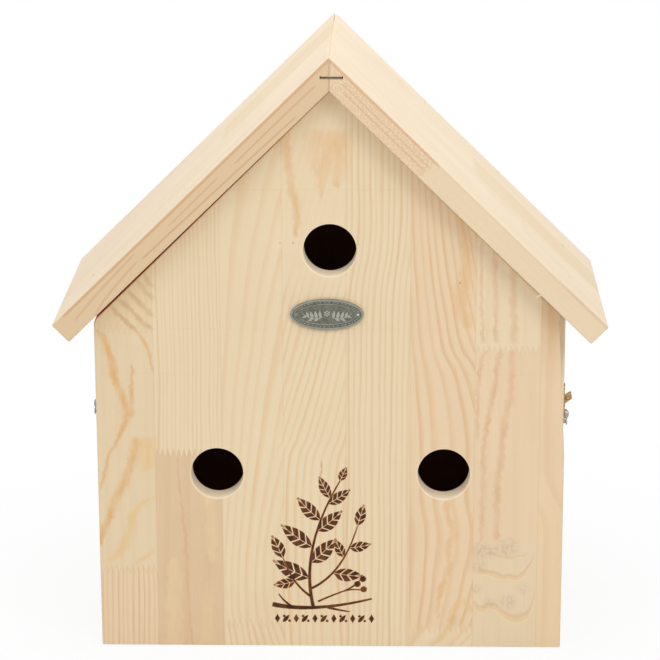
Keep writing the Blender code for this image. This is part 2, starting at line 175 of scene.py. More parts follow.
def noise(tree, x, y, z, detail=2.0, roughness=0.5):
    """Soft noise about 0, from about -0.5 to 0.5, at a point given as three wires or numbers."""
    point = tree.nodes.new("ShaderNodeCombineXYZ")
    for port, value in zip(point.inputs, (x, y, z)):
        feed(port, value)
    cloud = tree.nodes.new("ShaderNodeTexNoise")
    cloud.inputs["Scale"].default_value = 1
    cloud.inputs["Detail"].default_value = detail
    cloud.inputs["Roughness"].default_value = roughness
    tree.links.new(point.outputs[0], cloud.inputs["Vector"])
    return Wire(tree, cloud.outputs["Fac"]) - 0.5


def chance(tree, number, seed):
    """A random number from 0 to 1 for each whole number."""
    dice = tree.nodes.new("ShaderNodeTexWhiteNoise")
    dice.noise_dimensions = "1D"
    feed(dice.inputs["W"], number + seed)
    return Wire(tree, dice.outputs["Value"])


# %% Colours laid over colours, and curves through points
def blend(tree, share, first, second):
    """One colour laid over another. Each colour is a socket or four numbers."""
    node = tree.nodes.new("ShaderNodeMix")
    node.data_type = "RGBA"
    feed(node.inputs[0], share)
    for port, colour in ((node.inputs[6], first), (node.inputs[7], second)):
        if isinstance(colour, bpy.types.NodeSocket):
            tree.links.new(colour, port)
        else:
            port.default_value = colour
    return node.outputs[2]


def course(tree, value, points):
    """A smooth curve through (value, result) points. Past its ends it stays level."""
    points = sorted(points)
    first, last = points[0][0], points[-1][0]
    results = [result for _, result in points]
    bottom = min(results)
    span = max(max(results) - bottom, 1e-6)
    node = tree.nodes.new("ShaderNodeFloatCurve")
    knots = node.mapping.curves[0].points
    while len(knots) < len(points):
        knots.new(0.5, 0.5)
    for knot, (place, result) in zip(knots, points):
        knot.location = ((place - first) / (last - first), (result - bottom) / span)
    node.mapping.update()
    feed(node.inputs["Value"], (value - first) / (last - first))
    return Wire(tree, node.outputs[0]) * span + bottom


# %% A new material and its bumps
def new_finish(name):
    """A new material, its node tree, its shader and its texture coordinates."""
    material = bpy.data.materials.new(name)
    material.use_nodes = True
    tree = material.node_tree
    return material, tree, tree.nodes["Principled BSDF"], tree.nodes.new("ShaderNodeTexCoord").outputs


def bump(tree, shader, strength, distance, height):
    """Tilts the light on a surface as if a wire raised and lowered it by up to a distance in metres."""
    relief = tree.nodes.new("ShaderNodeBump")
    relief.inputs["Strength"].default_value = strength
    relief.inputs["Distance"].default_value = distance
    feed(relief.inputs["Height"], height)
    tree.links.new(relief.outputs[0], shader.inputs["Normal"])


print("node helpers ready")

# %% [markdown]
# With these helpers the studio takes few lines. Three kinds of ray see a surface directly: those from the
# camera, and those that come by a mirror or through glass. They meet the sky as plain white and the paper
# as lifted paper, while all the light that falls on the box still comes from the lamps and the soft sky.

# %% Sky
def direct_view(tree):
    """A number that is 1 where the eye, a mirror or glass looks straight at a surface, and 0 elsewhere."""
    path = tree.nodes.new("ShaderNodeLightPath")
    seen = Wire(tree, path.outputs["Is Camera Ray"])
    for ray in ("Is Glossy Ray", "Is Transmission Ray"):
        seen = seen.math("MAXIMUM", Wire(tree, path.outputs[ray]))
    return seen


sky_strength = 0.3
white = (1, 1, 1, 1)

sky = bpy.data.worlds.new("studio_sky")
scene.world = sky
sky.use_nodes = True
sky_tree = sky.node_tree
sky_tree.nodes.clear()
sky_light = sky_tree.nodes.new("ShaderNodeBackground")
sky_light.inputs["Color"].default_value = white
sky_light.inputs["Strength"].default_value = sky_strength
sky_seen = sky_tree.nodes.new("ShaderNodeBackground")
sky_seen.inputs["Color"].default_value = white
sky_mix = sky_tree.nodes.new("ShaderNodeMixShader")
sky_out = sky_tree.nodes.new("ShaderNodeOutputWorld")
feed(sky_mix.inputs["Fac"], direct_view(sky_tree))
sky_tree.links.new(sky_light.outputs[0], sky_mix.inputs[1])
sky_tree.links.new(sky_seen.outputs[0], sky_mix.inputs[2])
sky_tree.links.new(sky_mix.outputs[0], sky_out.inputs["Surface"])
print("sky strength", sky_strength)

# %% Paper
paper_size = 8
paper_drop = 0.0002
paper_grey = 0.8
lift_near_box = 0.9
lift_starts, lift_full = 0.16, 0.4

paper_finish, paper_tree, paper_shader, paper_place = new_finish("white_paper")
paper_shader.inputs["Base Color"].default_value = (paper_grey, paper_grey, paper_grey, 1)
paper_shader.inputs["Roughness"].default_value = 0.9
paper_white = paper_tree.nodes.new("ShaderNodeEmission")
paper_x, paper_y = (dot(paper_tree, paper_place["Object"], axis) for axis in ((1, 0, 0), (0, 1, 0)))
from_box = (paper_x * paper_x + paper_y * paper_y).math("SQRT")
paper_lift = from_box.ramp(lift_starts, lift_full) * (1 - lift_near_box) + lift_near_box
paper_mix = paper_tree.nodes.new("ShaderNodeMixShader")
feed(paper_mix.inputs["Fac"], direct_view(paper_tree) * paper_lift)
paper_tree.links.new(paper_shader.outputs[0], paper_mix.inputs[1])
paper_tree.links.new(paper_white.outputs[0], paper_mix.inputs[2])
paper_tree.links.new(paper_mix.outputs[0], paper_tree.nodes["Material Output"].inputs["Surface"])

bpy.ops.mesh.primitive_plane_add(size=paper_size, location=(0, 0, -paper_drop))
paper = bpy.context.object
paper.name = "white_paper"
paper.data.materials.append(paper_finish)
print("the paper is", paper_size, "m wide")


# %% Lamps
def soft_lamp(name, place, target, size, power):
    """A square soft lamp that looks from its place at a target."""
    data = bpy.data.lights.new(name, "AREA")
    data.size = size
    data.energy = power
    lamp = bpy.data.objects.new(name, data)
    lamp.location = place
    lamp.rotation_euler = (Vector(target) - Vector(place)).to_track_quat("-Z", "Y").to_euler()
    scene.collection.objects.link(lamp)
    return lamp


box_middle = (0, 0, 0.19)
soft_lamp("right_front_lamp", (1.1, -1.65, 1.8), box_middle, 1.3, 22.5)
soft_lamp("left_front_lamp", (-1.0, -1.7, 1.7), box_middle, 1.3, 13.5)
soft_lamp("roof_lamp", (-0.1, -0.1, 2.2), box_middle, 1.6, 23.5)
soft_lamp("back_lamp", (0.0, 1.9, 0.9), box_middle, 1.3, 8)

# %% [markdown]
# ## How a pine panel is put together
#
# Panels like these are glued from staves about 40 mm wide. Each stave is itself made of shorter pieces that
# meet end to end in a finger joint. Every piece came from another part of some tree, so each has rings of
# its own: straight lines where the saw passed far from the pith, and arches or bands where it passed near.
#
# An image of wood would repeat and would stop at the edges. Here each piece is described by where its
# tree's pith ran, and a ring is a distance from that pith. A piece has these values, in millimetres:
#
# - `pith`: how far the pith lies across the board, where the height is 0
# - `deep`: how far it lies behind the face, where the height is 0
# - `lean` and `dive`: how much it moves sideways and inwards for each millimetre of height
# - `pitch`: the distance between rings
# - `strength`: how dark its late wood is
#
# Two colours, for the pale early wood and the darker late wood, finish the description.

# %% What one piece of a stave is
cream = tone(237, 217, 183)
straw = tone(233, 211, 172)
rose = tone(236, 210, 175)
biscuit = tone(221, 191, 153)
tan_line = tone(214, 175, 126)
honey_line = tone(221, 177, 120)
rust_line = tone(210, 164, 118)
amber_line = tone(216, 168, 114)


def piece(pith, deep, dive=0.0, lean=0.0, pitch=4.0, strength=0.6, early=cream, late=tan_line):
    return {"run": (pith, deep, dive), "rings": (lean, pitch, strength), "early": early, "late": late}


finger_length = 6.0
joint_softness = 0.15


def finger_joint(height):
    """Two pieces meet in glued fingers at this height."""
    return (height, joint_softness, finger_length)


def butt_joint(height):
    """Two pieces meet on a straight line at this height."""
    return (height, joint_softness, 0.0)


def slow_change(height, softness):
    """One piece changes its look around this height, with no joint."""
    return (height, softness, 0.0)


print("early wood from", [round(c, 2) for c in cream[:3]], "to", [round(c, 2) for c in biscuit[:3]])


# %% A value for each stave
def stave_picker(across, edges):
    """A wire that says on which stave a point lies, as a place from 0 to 1 for a colour ramp."""
    number = across.math("GREATER_THAN", edges[0])
    for edge in edges[1:]:
        number = number + across.math("GREATER_THAN", edge)
    return (number + 0.5) / (len(edges) + 1)


def look_up(tree, picker, colours):
    """A colour ramp with one flat step for each stave."""
    node = tree.nodes.new("ShaderNodeValToRGB")
    ramp = node.color_ramp
    ramp.interpolation = "CONSTANT"
    feed(node.inputs["Fac"], picker)
    while len(ramp.elements) > 1:
        ramp.elements.remove(ramp.elements[-1])
    for number, colour in enumerate(colours):
        step = ramp.elements[0] if number == 0 else ramp.elements.new(number / len(colours))
        step.position = number / len(colours)
        step.color = colour
    return node.outputs["Color"]


def look_up_three(tree, picker, rows):
    """Three wires, from three numbers for each stave that are scaled to 0 to 1 for the ramp and put back."""
    lows = [min(column) for column in zip(*rows)]
    spans = [max(max(column) - low, 1e-6) for column, low in zip(zip(*rows), lows)]
    scaled = [[(value - low) / span for value, low, span in zip(row, lows, spans)] + [1] for row in rows]
    parts = tree.nodes.new("ShaderNodeSeparateColor")
    tree.links.new(look_up(tree, picker, scaled), parts.inputs[0])
    return [Wire(tree, out) * span + low for out, span, low in zip(parts.outputs, spans, lows)]


print("stave tables ready")

# %% [markdown]
# ## The rings
#
# The ring formula is plain geometry. Sideways and inward distance from the pith give a radius, and the
# radius divided by the pitch counts the years. Within a year the wood darkens towards its late wood and
# then turns pale again, so each year leaves one soft line. Real rings waver, so the place is pushed about
# by noise that is stretched along the grain.

# %% Years counted from the pith
def count_years(across, depth, along, run, rings):
    """How many rings lie between a point and its pith. Places are in millimetres."""
    pith, deep, dive = run
    lean, pitch, _ = rings
    sideways = across - pith - lean * along
    inward = deep - depth + dive * along
    return (sideways * sideways + inward * inward).math("SQRT") / pitch


def late_wood(tree, years, along, seed):
    """How dark a point is within its year, from 0 to 1. Some years are stronger, and each fades in places."""
    uneven = years + noise(tree, years * 0.4, seed, 0.0, detail=1) * 1.3
    season = uneven.math("FRACT")
    line = season.ramp(0.38, 0.82) * season.ramp(1.0, 0.87)
    vigour = chance(tree, uneven.math("FLOOR"), seed) * 0.6 + 0.4
    fading = noise(tree, years * 0.7, along * 0.012, seed, detail=1) * 1.1 + 0.85
    return line * vigour * fading


# %% [markdown]
# Two more habits of wood make a board believable. Where a branch was near, the rings of a stave are
# pushed aside over a stretch of its height, which the table calls a drift. Where the saw ran almost along a
# ring, that ring shows as a broad amber streak. The faces inside the chambers then get painted shade: a
# darker brown stands in for the dark of the closed box, so that an entry hole looks black.

# %% Drifts and streaks
def drifted(tree, along, over, edges, drifts):
    """The place across the board, moved back by how far the rings of each stave have drifted."""
    bounds = [edges[0] - 60, *edges, edges[-1] + 60]
    for left, right, drift in zip(bounds, bounds[1:], drifts):
        if drift is None:
            continue
        at_left_seam, points = drift
        share = (over - left) / (right - left) * (1 - at_left_seam) + at_left_seam
        moved = course(tree, along, points) * share * over.between(left, right)
        over = over - moved
    return over


def streak(tree, along, over, points, weight, ragged=1.0, fade=2.0):
    """A band through (height, place across, width) points, strongest in its middle."""
    middle = course(tree, along, [(height, place) for height, place, _ in points])
    width = course(tree, along, [(height, width) for height, _, width in points]) * ragged
    heights = [height for height, _, _ in points]
    low, high = min(heights), max(heights)
    aside = (over - middle).math("ABSOLUTE") / width
    ends = along.ramp(low - fade, low + fade) * along.ramp(high + fade, high - fade)
    return aside.ramp(0.75, 0.1) * ends * weight


def lay_streaks(tree, colour, along, over, groups):
    """Lays groups of streaks over a colour. Within a group the strongest one counts, so none adds up."""
    over = over + noise(tree, along * 0.22, over * 0.12, 11.0, detail=3) * 4
    ragged = noise(tree, over * 0.5, along * 0.16, 9.0, detail=3) * 2.4 + 1.15
    for streak_tone, streaks in groups:
        strongest = None
        for points, weight in streaks:
            here = streak(tree, along, over, points, weight, ragged)
            strongest = here if strongest is None else strongest.math("MAXIMUM", here)
        mottle = noise(tree, over * 0.16, along * 0.06, 5.0, detail=3) * 2.2 + 0.95
        colour = blend(tree, (strongest * mottle).math("MINIMUM", 1), colour, streak_tone)
    return colour


# %% Painted shade inside the chambers
three_axes = (Vector((1, 0, 0)), Vector((0, 1, 0)), Vector((0, 0, 1)))
chamber_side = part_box("right_side_board")[0].x
chamber_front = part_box("right_side_board")[0].y
chamber_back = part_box("back_board")[0].y
chamber_slack = 0.0003
# painted shade: a darker brown on the faces inside, where the closed box is dark
inside_shade_tone = tone(166, 106, 70)
inside_shade_share = 0.85


def painted_inside_shade(tree, place, colour, front=chamber_front + 2 * chamber_slack, facing_down=False):
    """Paints shade on the faces that look into the chambers, which lie on the bounds of the space inside."""
    x, y, z = (dot(tree, place["Object"], axis) for axis in three_axes)
    inside = x.math("ABSOLUTE").math("LESS_THAN", chamber_side + chamber_slack)
    inside = inside * y.between(front, chamber_back + chamber_slack) * z.math("GREATER_THAN", chamber_slack)
    if facing_down:
        inside = inside * dot(tree, place["Normal"], three_axes[2]).math("LESS_THAN", 0)
    return blend(tree, inside * inside_shade_share, colour, inside_shade_tone)


print("the chambers are", round(2 * chamber_side, 4), "m wide")

# %% [markdown]
# The panel material puts this together. It finds the stave, counts the years for each of its pieces, and
# joins the pieces at their fingers. On top come the things that every piece shares: fine fibres along the
# grain, a faint cloud of warmer and cooler wood, thin glue lines, and end grain that drinks more light.

# %% A pine panel
mm = 1000.0
finger_pitch = 3.4
ring_wander, ring_tremble = 6, 1.2
fibre_shade, fibre_shine, pore_shade = 0.16, 0.2, 0.2
seam_shade, end_grain_shade = 0.18, 0.16


def panel_finish(name, grain, across, origin, edges, tiers, joints, seed,
                 drifts=(), streaks=(), marks=None, inside=None):
    """A pine panel's material. Tiers go from the top of the grain down, each with a piece for every stave."""
    material, tree, shader, place = new_finish(name)
    grain, across = Vector(grain).normalized(), Vector(across).normalized()
    inwards = grain.cross(across)
    start = Vector(origin)
    along, over, depth = (
        dot(tree, place["Object"], axis * mm) - axis.dot(start) * mm
        for axis in (grain, across, inwards)
    )

    picker = stave_picker(over, edges)
    wander = noise(tree, over * 0.03 + seed, depth * 0.03, along * 0.008, detail=2)
    tremble = noise(tree, over * 0.2 + seed, depth * 0.1, along * 0.022, detail=2)
    wavy = drifted(tree, along, over, edges, drifts) + wander * ring_wander + tremble * ring_tremble

    fingers = (over / finger_pitch).math("FRACT").math("PINGPONG", 0.5) * 2 - 0.5
    year_count = strength = early = late = seams = None
    for tier, pieces in enumerate(tiers):
        run = look_up_three(tree, picker, [each["run"] for each in pieces])
        rings = look_up_three(tree, picker, [each["rings"] for each in pieces])
        years = count_years(wavy, depth, along, run, rings)
        early_here = look_up(tree, picker, [each["early"] for each in pieces])
        late_here = look_up(tree, picker, [each["late"] for each in pieces])
        if tier == 0:
            year_count, strength, early, late = years, rings[2], early_here, late_here
            continue
        height, softness, length = look_up_three(tree, picker, joints[tier - 1])
        level = along + fingers * length
        above = level.ramp(height - softness, height + softness)
        year_count = years + (year_count - years) * above
        strength = rings[2] + (strength - rings[2]) * above
        early = blend(tree, above, early_here, early)
        late = blend(tree, above, late_here, late)
        joint_line = (level - height).math("ABSOLUTE").ramp(0.9, 0.2) * length / finger_length
        seams = joint_line if seams is None else seams.math("MAXIMUM", joint_line)

    dark = late_wood(tree, year_count, along, seed)
    colour = blend(tree, dark * strength, early, late)

    cloud = noise(tree, over * 0.035 + seed, depth * 0.03, along * 0.012, detail=3)
    colour = blend(tree, (cloud * 1.1 + 0.3).math("MULTIPLY", 0.5, clamp=True), colour, biscuit)
    if streaks:
        colour = lay_streaks(tree, colour, along, over + tremble * 1.4, streaks)
    fibre = noise(tree, over * 2.6 + seed, depth * 2.6, along * 0.045, detail=3, roughness=0.65)
    colour = blend(tree, fibre.ramp(0.02, 0.3) * fibre_shade, colour, tone(196, 160, 116))
    colour = blend(tree, fibre.ramp(-0.02, -0.3) * fibre_shine, colour, tone(248, 236, 212))
    pore = noise(tree, over * 5.5 + seed, depth * 5.5, along * 0.35, detail=1)
    open_pores = pore.ramp(0.24, 0.36)
    colour = blend(tree, open_pores * pore_shade, colour, tone(176, 136, 96))

    for edge in edges:
        seams = seams.math("MAXIMUM", (over - edge).math("ABSOLUTE").ramp(0.5, 0.1) * 0.8)
    colour = blend(tree, seams * seam_shade, colour, tone(188, 148, 104))

    upright = dot(tree, place["Normal"], grain).math("ABSOLUTE")
    colour = blend(tree, upright.ramp(0.8, 0.98) * end_grain_shade, colour, tone(208, 168, 122))
    if marks:
        colour = marks(tree, colour, over, depth, along)
    # painted shade on the faces inside the chambers
    if inside is not None:
        colour = painted_inside_shade(tree, place, colour, **inside)

    tree.links.new(colour, shader.inputs["Base Color"])
    feed(shader.inputs["Roughness"], dark * -0.1 + fibre * 0.2 + 0.66)
    shader.inputs["Specular IOR Level"].default_value = 0.3
    bump(tree, shader, 0.3, 0.00015, dark * 0.12 + fibre - open_pores * 0.4)
    return material


def dress(node, material):
    """Gives a solid its finish."""
    for slot in boards_and_metal[node].material_slots:
        slot.material = material
    print(node, "gets", material.name)


# %% [markdown]
# ## The front board
#
# The front shows eight staves. Their seams, their joints and the course of their rings are copied from the
# photograph stave by stave, because this board is what one looks at. The staves are listed from left to
# right, and heights and places are in millimetres from the ground and from the middle of the board.

# %% The staves of the front
front_seams = [-110.0, -68.1, -29.4, 9.9, 49.8, 90.2, 130.6]

fine_stave = piece(160, 30, pitch=2.7, strength=0.5)
wide_stave = piece(95, 60, pitch=6.5, strength=0.5, late=honey_line)
middle_stave = piece(160, 60, pitch=4.5, strength=0.6, late=honey_line)
even_stave = piece(-140, 30, lean=0.02, pitch=3.7, strength=0.62)
red_stave = piece(220, 30, lean=-0.01, pitch=5.2, strength=0.7, early=rose, late=amber_line)

top_pieces = [
    piece(160, 30, pitch=6, strength=0.15, early=straw),
    fine_stave,
    wide_stave,
    piece(160, 60, pitch=4.5, strength=0.1),
    even_stave,
    red_stave,
    piece(230, 20, pitch=8.0, strength=0.15),
    piece(300, 30, pitch=13, strength=0.5, early=biscuit, late=rust_line),
]
middle_pieces = [
    piece(160, 30, pitch=9, strength=0.15, early=tone(232, 211, 176)),
    fine_stave,
    wide_stave,
    middle_stave,
    even_stave,
    red_stave,
    piece(230, 20, pitch=9.0, strength=0.12, early=rose),
    piece(300, 30, pitch=13, strength=0.3, early=rose),
]
foot_pieces = [
    piece(40, 30, pitch=3.2, strength=0.7, early=rose, late=rust_line),
    piece(-200, 20, lean=0.03, pitch=14, strength=0.25, early=tone(225, 196, 159), late=rust_line),
    piece(100, 60, pitch=5.2, strength=0.75, late=honey_line),
    middle_stave,
    even_stave,
    piece(40, 20, lean=0.5, pitch=6.0, strength=0.45, late=honey_line),
    piece(230, 20, pitch=9.0, strength=0.06, early=tone(232, 211, 178)),
    piece(300, 30, pitch=12, strength=0.3, early=tone(236, 209, 172)),
]
knot_top = 72
upper_joints = [
    finger_joint(211), slow_change(230, 20), slow_change(150, 60), slow_change(236, 14),
    slow_change(230, 20), slow_change(205, 40), finger_joint(198), slow_change(200, 30),
]
lower_joints = [
    finger_joint(52), finger_joint(130), finger_joint(16), slow_change(120, 30),
    slow_change(100, 20), finger_joint(13), butt_joint(knot_top), slow_change(100, 20),
]
print(len(top_pieces), "staves between", front_seams[0], "and", front_seams[-1])

# %% [markdown]
# Four staves have rings that drift. A drift says what share of it already holds at the left seam, and how
# far the rings have moved to the right at each height. The third stave's rings close up towards the foot,
# and the sixth stave's rings spread and swing to the right around the lower entry hole.

# %% Where the rings drift
front_drifts = [
    None,
    None,
    (0.25, [(17, -19), (28, -21.5), (51, -22), (79, -17), (111, -9), (156, 0)]),
    (1.0, [(80, -13), (123, -12), (140, -7), (165, 0)]),
    (1.0, [(200, 0), (230, 0), (271, 4), (290, 4)]),
    (0.15, [(17, 12), (50, 19), (79, 22), (99, 20), (139, 20), (177, 16), (200, 6), (222, 0)]),
    None,
    None,
]
print(sum(drift is not None for drift in front_drifts), "staves drift")

# %% [markdown]
# The streaks come next: each is a list of points with a height, a place across and a width, and a weight.
# The amber ones are single rings that the saw ran along, most of them in the first stave and around the
# upper hole. The butter ones are their paler halves, and the rust ones are the long lines of the seventh
# stave. The brown ones are short slanting lines in the corner under the left eave and one fine check beside
# the middle, and the pale ones lighten the foot of the second stave.

# %% Streaks in the upright grain
amber_streaks = [
    ([(153, -127, 4.4), (158, -127, 5), (172, -132, 5), (183, -135, 4.4), (194, -137, 4.4), (203, -140, 4.4),
      (210, -144, 3.5)], 0.85),
    ([(153, -126, 4.4), (160, -124, 3.1), (172, -124, 2.8), (181, -123, 2.5), (188, -123, 1.6)], 0.7),
    ([(106, -145, 1.8), (125, -140, 2.4), (138, -134, 2.6), (146, -130, 3.8), (157, -127, 5)], 0.75),
    ([(183, -110, 1.4), (186, -111, 2), (198, -113, 2.2), (205, -117, 2.2), (213, -121, 1.6)], 0.7),
    ([(68, -146, 3), (75, -145, 4), (88, -139, 4.6), (100, -135, 5.1), (112, -129, 5), (124, -125, 5),
      (132, -123, 5), (140, -122, 4)], 0.8),
    ([(270, -21, 3), (284, -20, 4.5), (299, -23, 4.6), (320, -26, 5.4), (334, -28, 9)], 0.55),
    ([(293, -5, 0.4), (299, -5, 4.2), (306, -4, 8), (315, -3, 15), (336, -3, 21)], 0.42),
    ([(300, 4, 0.4), (303, 4, 5), (307, 5, 9), (315, 6, 11), (336, 6, 12)], 0.42),
    ([(212, 86, 3.7), (219, 83, 8.6), (227, 81, 9.4), (237, 81, 8.6), (246, 84, 7.4), (257, 84, 6.2),
      (268, 82, 5.5), (283, 80, 3.7)], 0.5),
    ([(20, 68, 2.5), (34, 69, 3.2), (46, 72, 3.8), (56, 75, 3.8), (68, 75, 4.4), (79, 77, 4.4), (89, 74, 3.8),
      (100, 73, 3.8)], 0.55),
]
butter_streaks = [
    ([(118, -117, 6), (125, -116, 9.5), (131, -116, 11.5), (140, -115, 12)], 0.75),
    ([(57, -143, 8), (61, -136, 6.8), (69, -130, 6), (80, -127, 6), (90, -124, 5.4), (98, -117, 4.6),
      (101, -111, 3.4)], 0.75),
    ([(56, -123, 4.2), (60, -118, 3.6), (66, -111, 2.4)], 0.6),
    ([(3, 67, 4.4), (12, 74, 4.4), (25, 78, 4.4), (33, 83, 4.4)], 0.6),
    ([(24, 91, 5.6), (29, 87, 5.6), (33, 83, 4.8)], 0.6),
]
rust_streaks = [
    ([(-2, -88, 1.6), (39, -91, 1.6), (73, -92, 1.6), (106, -95, 1.5), (127, -96, 1.5)], 0.45),
    ([(203, 94, 2.2), (268, 93, 2.2)], 0.4),
    ([(203, 103, 3.2), (237, 102, 3), (262, 101, 3)], 0.45),
    ([(203, 114, 4), (224, 113, 4), (250, 112, 4)], 0.4),
    ([(140, 92, 1.8), (167, 92, 2.6), (185, 93, 2.6), (198, 99, 2.6)], 0.45),
    ([(73, 95, 2.8), (107, 96, 3.1), (129, 96, 3.1), (151, 98, 3.1), (172, 102, 3.2), (189, 104, 3.2),
      (198, 106, 3.2)], 0.5),
    ([(73, 105, 3.9), (107, 105, 3.8), (129, 107, 3.8), (151, 109, 3.8), (172, 112, 3.8),
      (198, 113, 3.4)], 0.5),
]
brown_streaks = [
    ([(210, -121, 4.0), (226, -136, 3.6)], 0.55),
    ([(211, -112, 4.4), (230, -130, 4.0)], 0.5),
    ([(219, -110, 4.4), (236, -125, 3.6)], 0.45),
    ([(230, -110, 4.0), (242, -119, 3.4)], 0.4),
    ([(238, -110, 3.4), (246, -114, 3.0)], 0.3),
    ([(115, -5.6, 0.9), (125, -5.8, 0.9)], 0.8),
]
pale_streaks = [
    ([(0, -101, 8), (20, -101, 9), (40, -100, 9), (60, -99, 6)], 0.7),
    ([(58, -75, 5), (85, -76, 7), (108, -78, 4)], 0.7),
    ([(2, -80, 7), (24, -79, 8), (44, -77, 5)], 0.5),
]
front_streaks = [
    (tone(232, 205, 163), pale_streaks),
    (tone(225, 180, 124), amber_streaks),
    (tone(230, 196, 142), butter_streaks),
    (tone(217, 173, 134), rust_streaks),
    (tone(201, 160, 112), brown_streaks),
]
print(sum(len(streaks) for _, streaks in front_streaks), "streaks")

# %% [markdown]
# A last group is particular to this board. Low in the seventh stave sits a piece cut close to a knot, whose
# rings cross the board as wavy bands, each with a brown upper edge and a butter-yellow lower one. Three
# pinholes, a bruise near the left eave and a few cloudy shadows lie at their measured places. The rim of
# each entry hole gets a painted highlight, and its wall is painted paler as painted light on a shaded bore.
# The sloping cut under the left roof board is painted orange-brown as painted shade and shows through its
# gap, while the right one is painted pale as painted light, so that its gap looks less dark.

# %% Marks on the front
knot_bands = [
    ([(100, 64.8, 1.6), (104.6, 62.6, 1.6), (111, 61, 1.6), (118.3, 62.1, 1.6), (124.5, 64, 1.6)], 0.45),
    ([(94, 51.9, 3), (100.5, 51, 3.4), (110, 48.1, 3.4), (118.3, 48.1, 3.4), (124.5, 53.8, 3.4),
      (128.5, 62, 3)], 0.75),
    ([(90.9, 28.8, 4), (95.7, 26.5, 4), (102.1, 28.9, 4), (109.5, 23.3, 4.4), (117.9, 19.9, 5),
      (124.2, 22.3, 5), (128.7, 32.5, 4.4), (130, 41, 4)], 0.75),
]
pinholes = [(80.1, 241.0, 0.55, 0.5), (-22.5, 266.0, 0.45, 0.7), (-30.5, 266.0, 0.4, 0.5)]
smudges = [
    (-121.5, 231.5, 2.6, 0.4), (95, 66, 8, 0.5), (94, 55, 7, 0.4), (93, 40, 5, 0.3), (112, 68, 10, 0.45),
    (103, 65, 6, 0.4), (113, 31, 8, 0.4), (101, 30, 6, 0.3), (78, 19, 5, 0.3), (122, 40, 6, 0.25),
]
band_parts = ((0, 1, tone(230, 197, 152), 0.9), (0.42, 0.6, tone(208, 172, 136), 0.4),
              (-0.6, 0.35, tone(243, 219, 172), 0.5))
roof_pitch = math.radians(44.3)
slope_rise = math.tan(roof_pitch)
cut_margin = 5
slope_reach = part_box("front_board")[1].z * mm - cut_margin
cut_from, cut_to = 0.2, 14.8
# painted shade on the left sloping cut, painted light on the right one
painted_shade_cut_share, painted_light_cut_share = 0.9, 0.8
painted_shade_cut, painted_light_cut = tone(196, 104, 44), tone(250, 232, 200)
entry_radius = 16.4
entry_holes = [(0.0, 261.4), (-71.2, 116.8), (71.2, 116.8)]
hole_rim = 0.9
face_depth = 1.2
wall_slack = 0.15
# a painted highlight on the rim of each entry hole, and painted light on its shaded wall
rim_highlight_share, wall_light_share = 0.35, 0.7


def away_from(over, along, x, z):
    """The distance from a place on the board."""
    aside, up = over - x, along - z
    return (aside * aside + up * up).math("SQRT")


def mark_front(tree, colour, over, depth, along):
    knot_wood = over.between(front_seams[-2], front_seams[-1]) * along.math("LESS_THAN", knot_top)
    waver = along + noise(tree, over * 0.18, along * 0.1, 6.0, detail=2) * 4
    for points, weight in knot_bands:
        for rise, share, band_tone, strength in band_parts:
            part = [(x, z + width * rise, width * share) for x, z, width in points]
            band = streak(tree, over, waver, part, weight * strength) * knot_wood
            colour = blend(tree, band, colour, band_tone)
    cloudy = noise(tree, over * 0.5, along * 0.3, 2.0, detail=4, roughness=0.7).ramp(-0.2, 0.2)
    for x, z, radius, weight in smudges:
        shade = away_from(over, along, x, z).ramp(radius, radius * 0.2) * cloudy
        colour = blend(tree, shade * weight, colour, tone(186, 150, 126))
    # the sloping cut under each roof board: painted shade on the left, painted light on the right
    cut = (over.math("ABSOLUTE") * slope_rise + along).math("GREATER_THAN", slope_reach)
    cut = cut * depth.between(cut_from, cut_to)
    colour = blend(tree, cut * over.math("LESS_THAN", 0) * painted_shade_cut_share, colour, painted_shade_cut)
    colour = blend(tree, cut * over.math("GREATER_THAN", 0) * painted_light_cut_share, colour, painted_light_cut)
    for x, z, radius, weight in pinholes:
        hole = away_from(over, along, x, z).ramp(radius * 1.5, radius * 0.4)
        colour = blend(tree, hole * weight, colour, tone(96, 66, 46))
    # painted highlight on each rim and painted light on each bore wall
    for x, z in entry_holes:
        from_middle = away_from(over, along, x, z)
        rim = from_middle.ramp(entry_radius + hole_rim * 1.4, entry_radius + hole_rim * 0.8)
        rim_highlight = rim * depth.math("LESS_THAN", face_depth)
        colour = blend(tree, rim_highlight * rim_highlight_share, colour, tone(248, 234, 208))
        wall_light = from_middle.math("LESS_THAN", entry_radius + wall_slack)
        colour = blend(tree, wall_light * wall_light_share, colour, tone(255, 242, 218))
    return colour


front_low, front_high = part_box("front_board")
front_finish = panel_finish(
    "front_pine", (0, 0, 1), (1, 0, 0), (0, front_low.y, 0), front_seams,
    [top_pieces, middle_pieces, foot_pieces], [upper_joints, lower_joints], seed=3.0,
    drifts=front_drifts, streaks=front_streaks, marks=mark_front,
    inside={"front": front_high.y - chamber_slack},
)
dress("front_board", front_finish)

# %% [markdown]
# ## The roof
#
# Each slope is one panel whose grain runs down to the eave. Its top is smooth and creamy, with few and faint
# lines.
#
# Both panels count their staves from the front. For that the grain is counted down the slope on the left
# and up the slope on the right. Both start at the ridge, so places on the right are negative.

# %% The staves of the roof
ridge_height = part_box("left_roof_board")[1].z
roof_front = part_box("left_roof_board")[0].y * mm
roof_seams = [-41.0, -1.0, 42.0]
pale = tone(243, 226, 200)
pale_line = tone(234, 206, 168)


def roof_piece(pith, deep, pitch, strength=0.4, early=pale):
    return piece(pith, deep, pitch=pitch, strength=strength, early=early, late=pale_line)


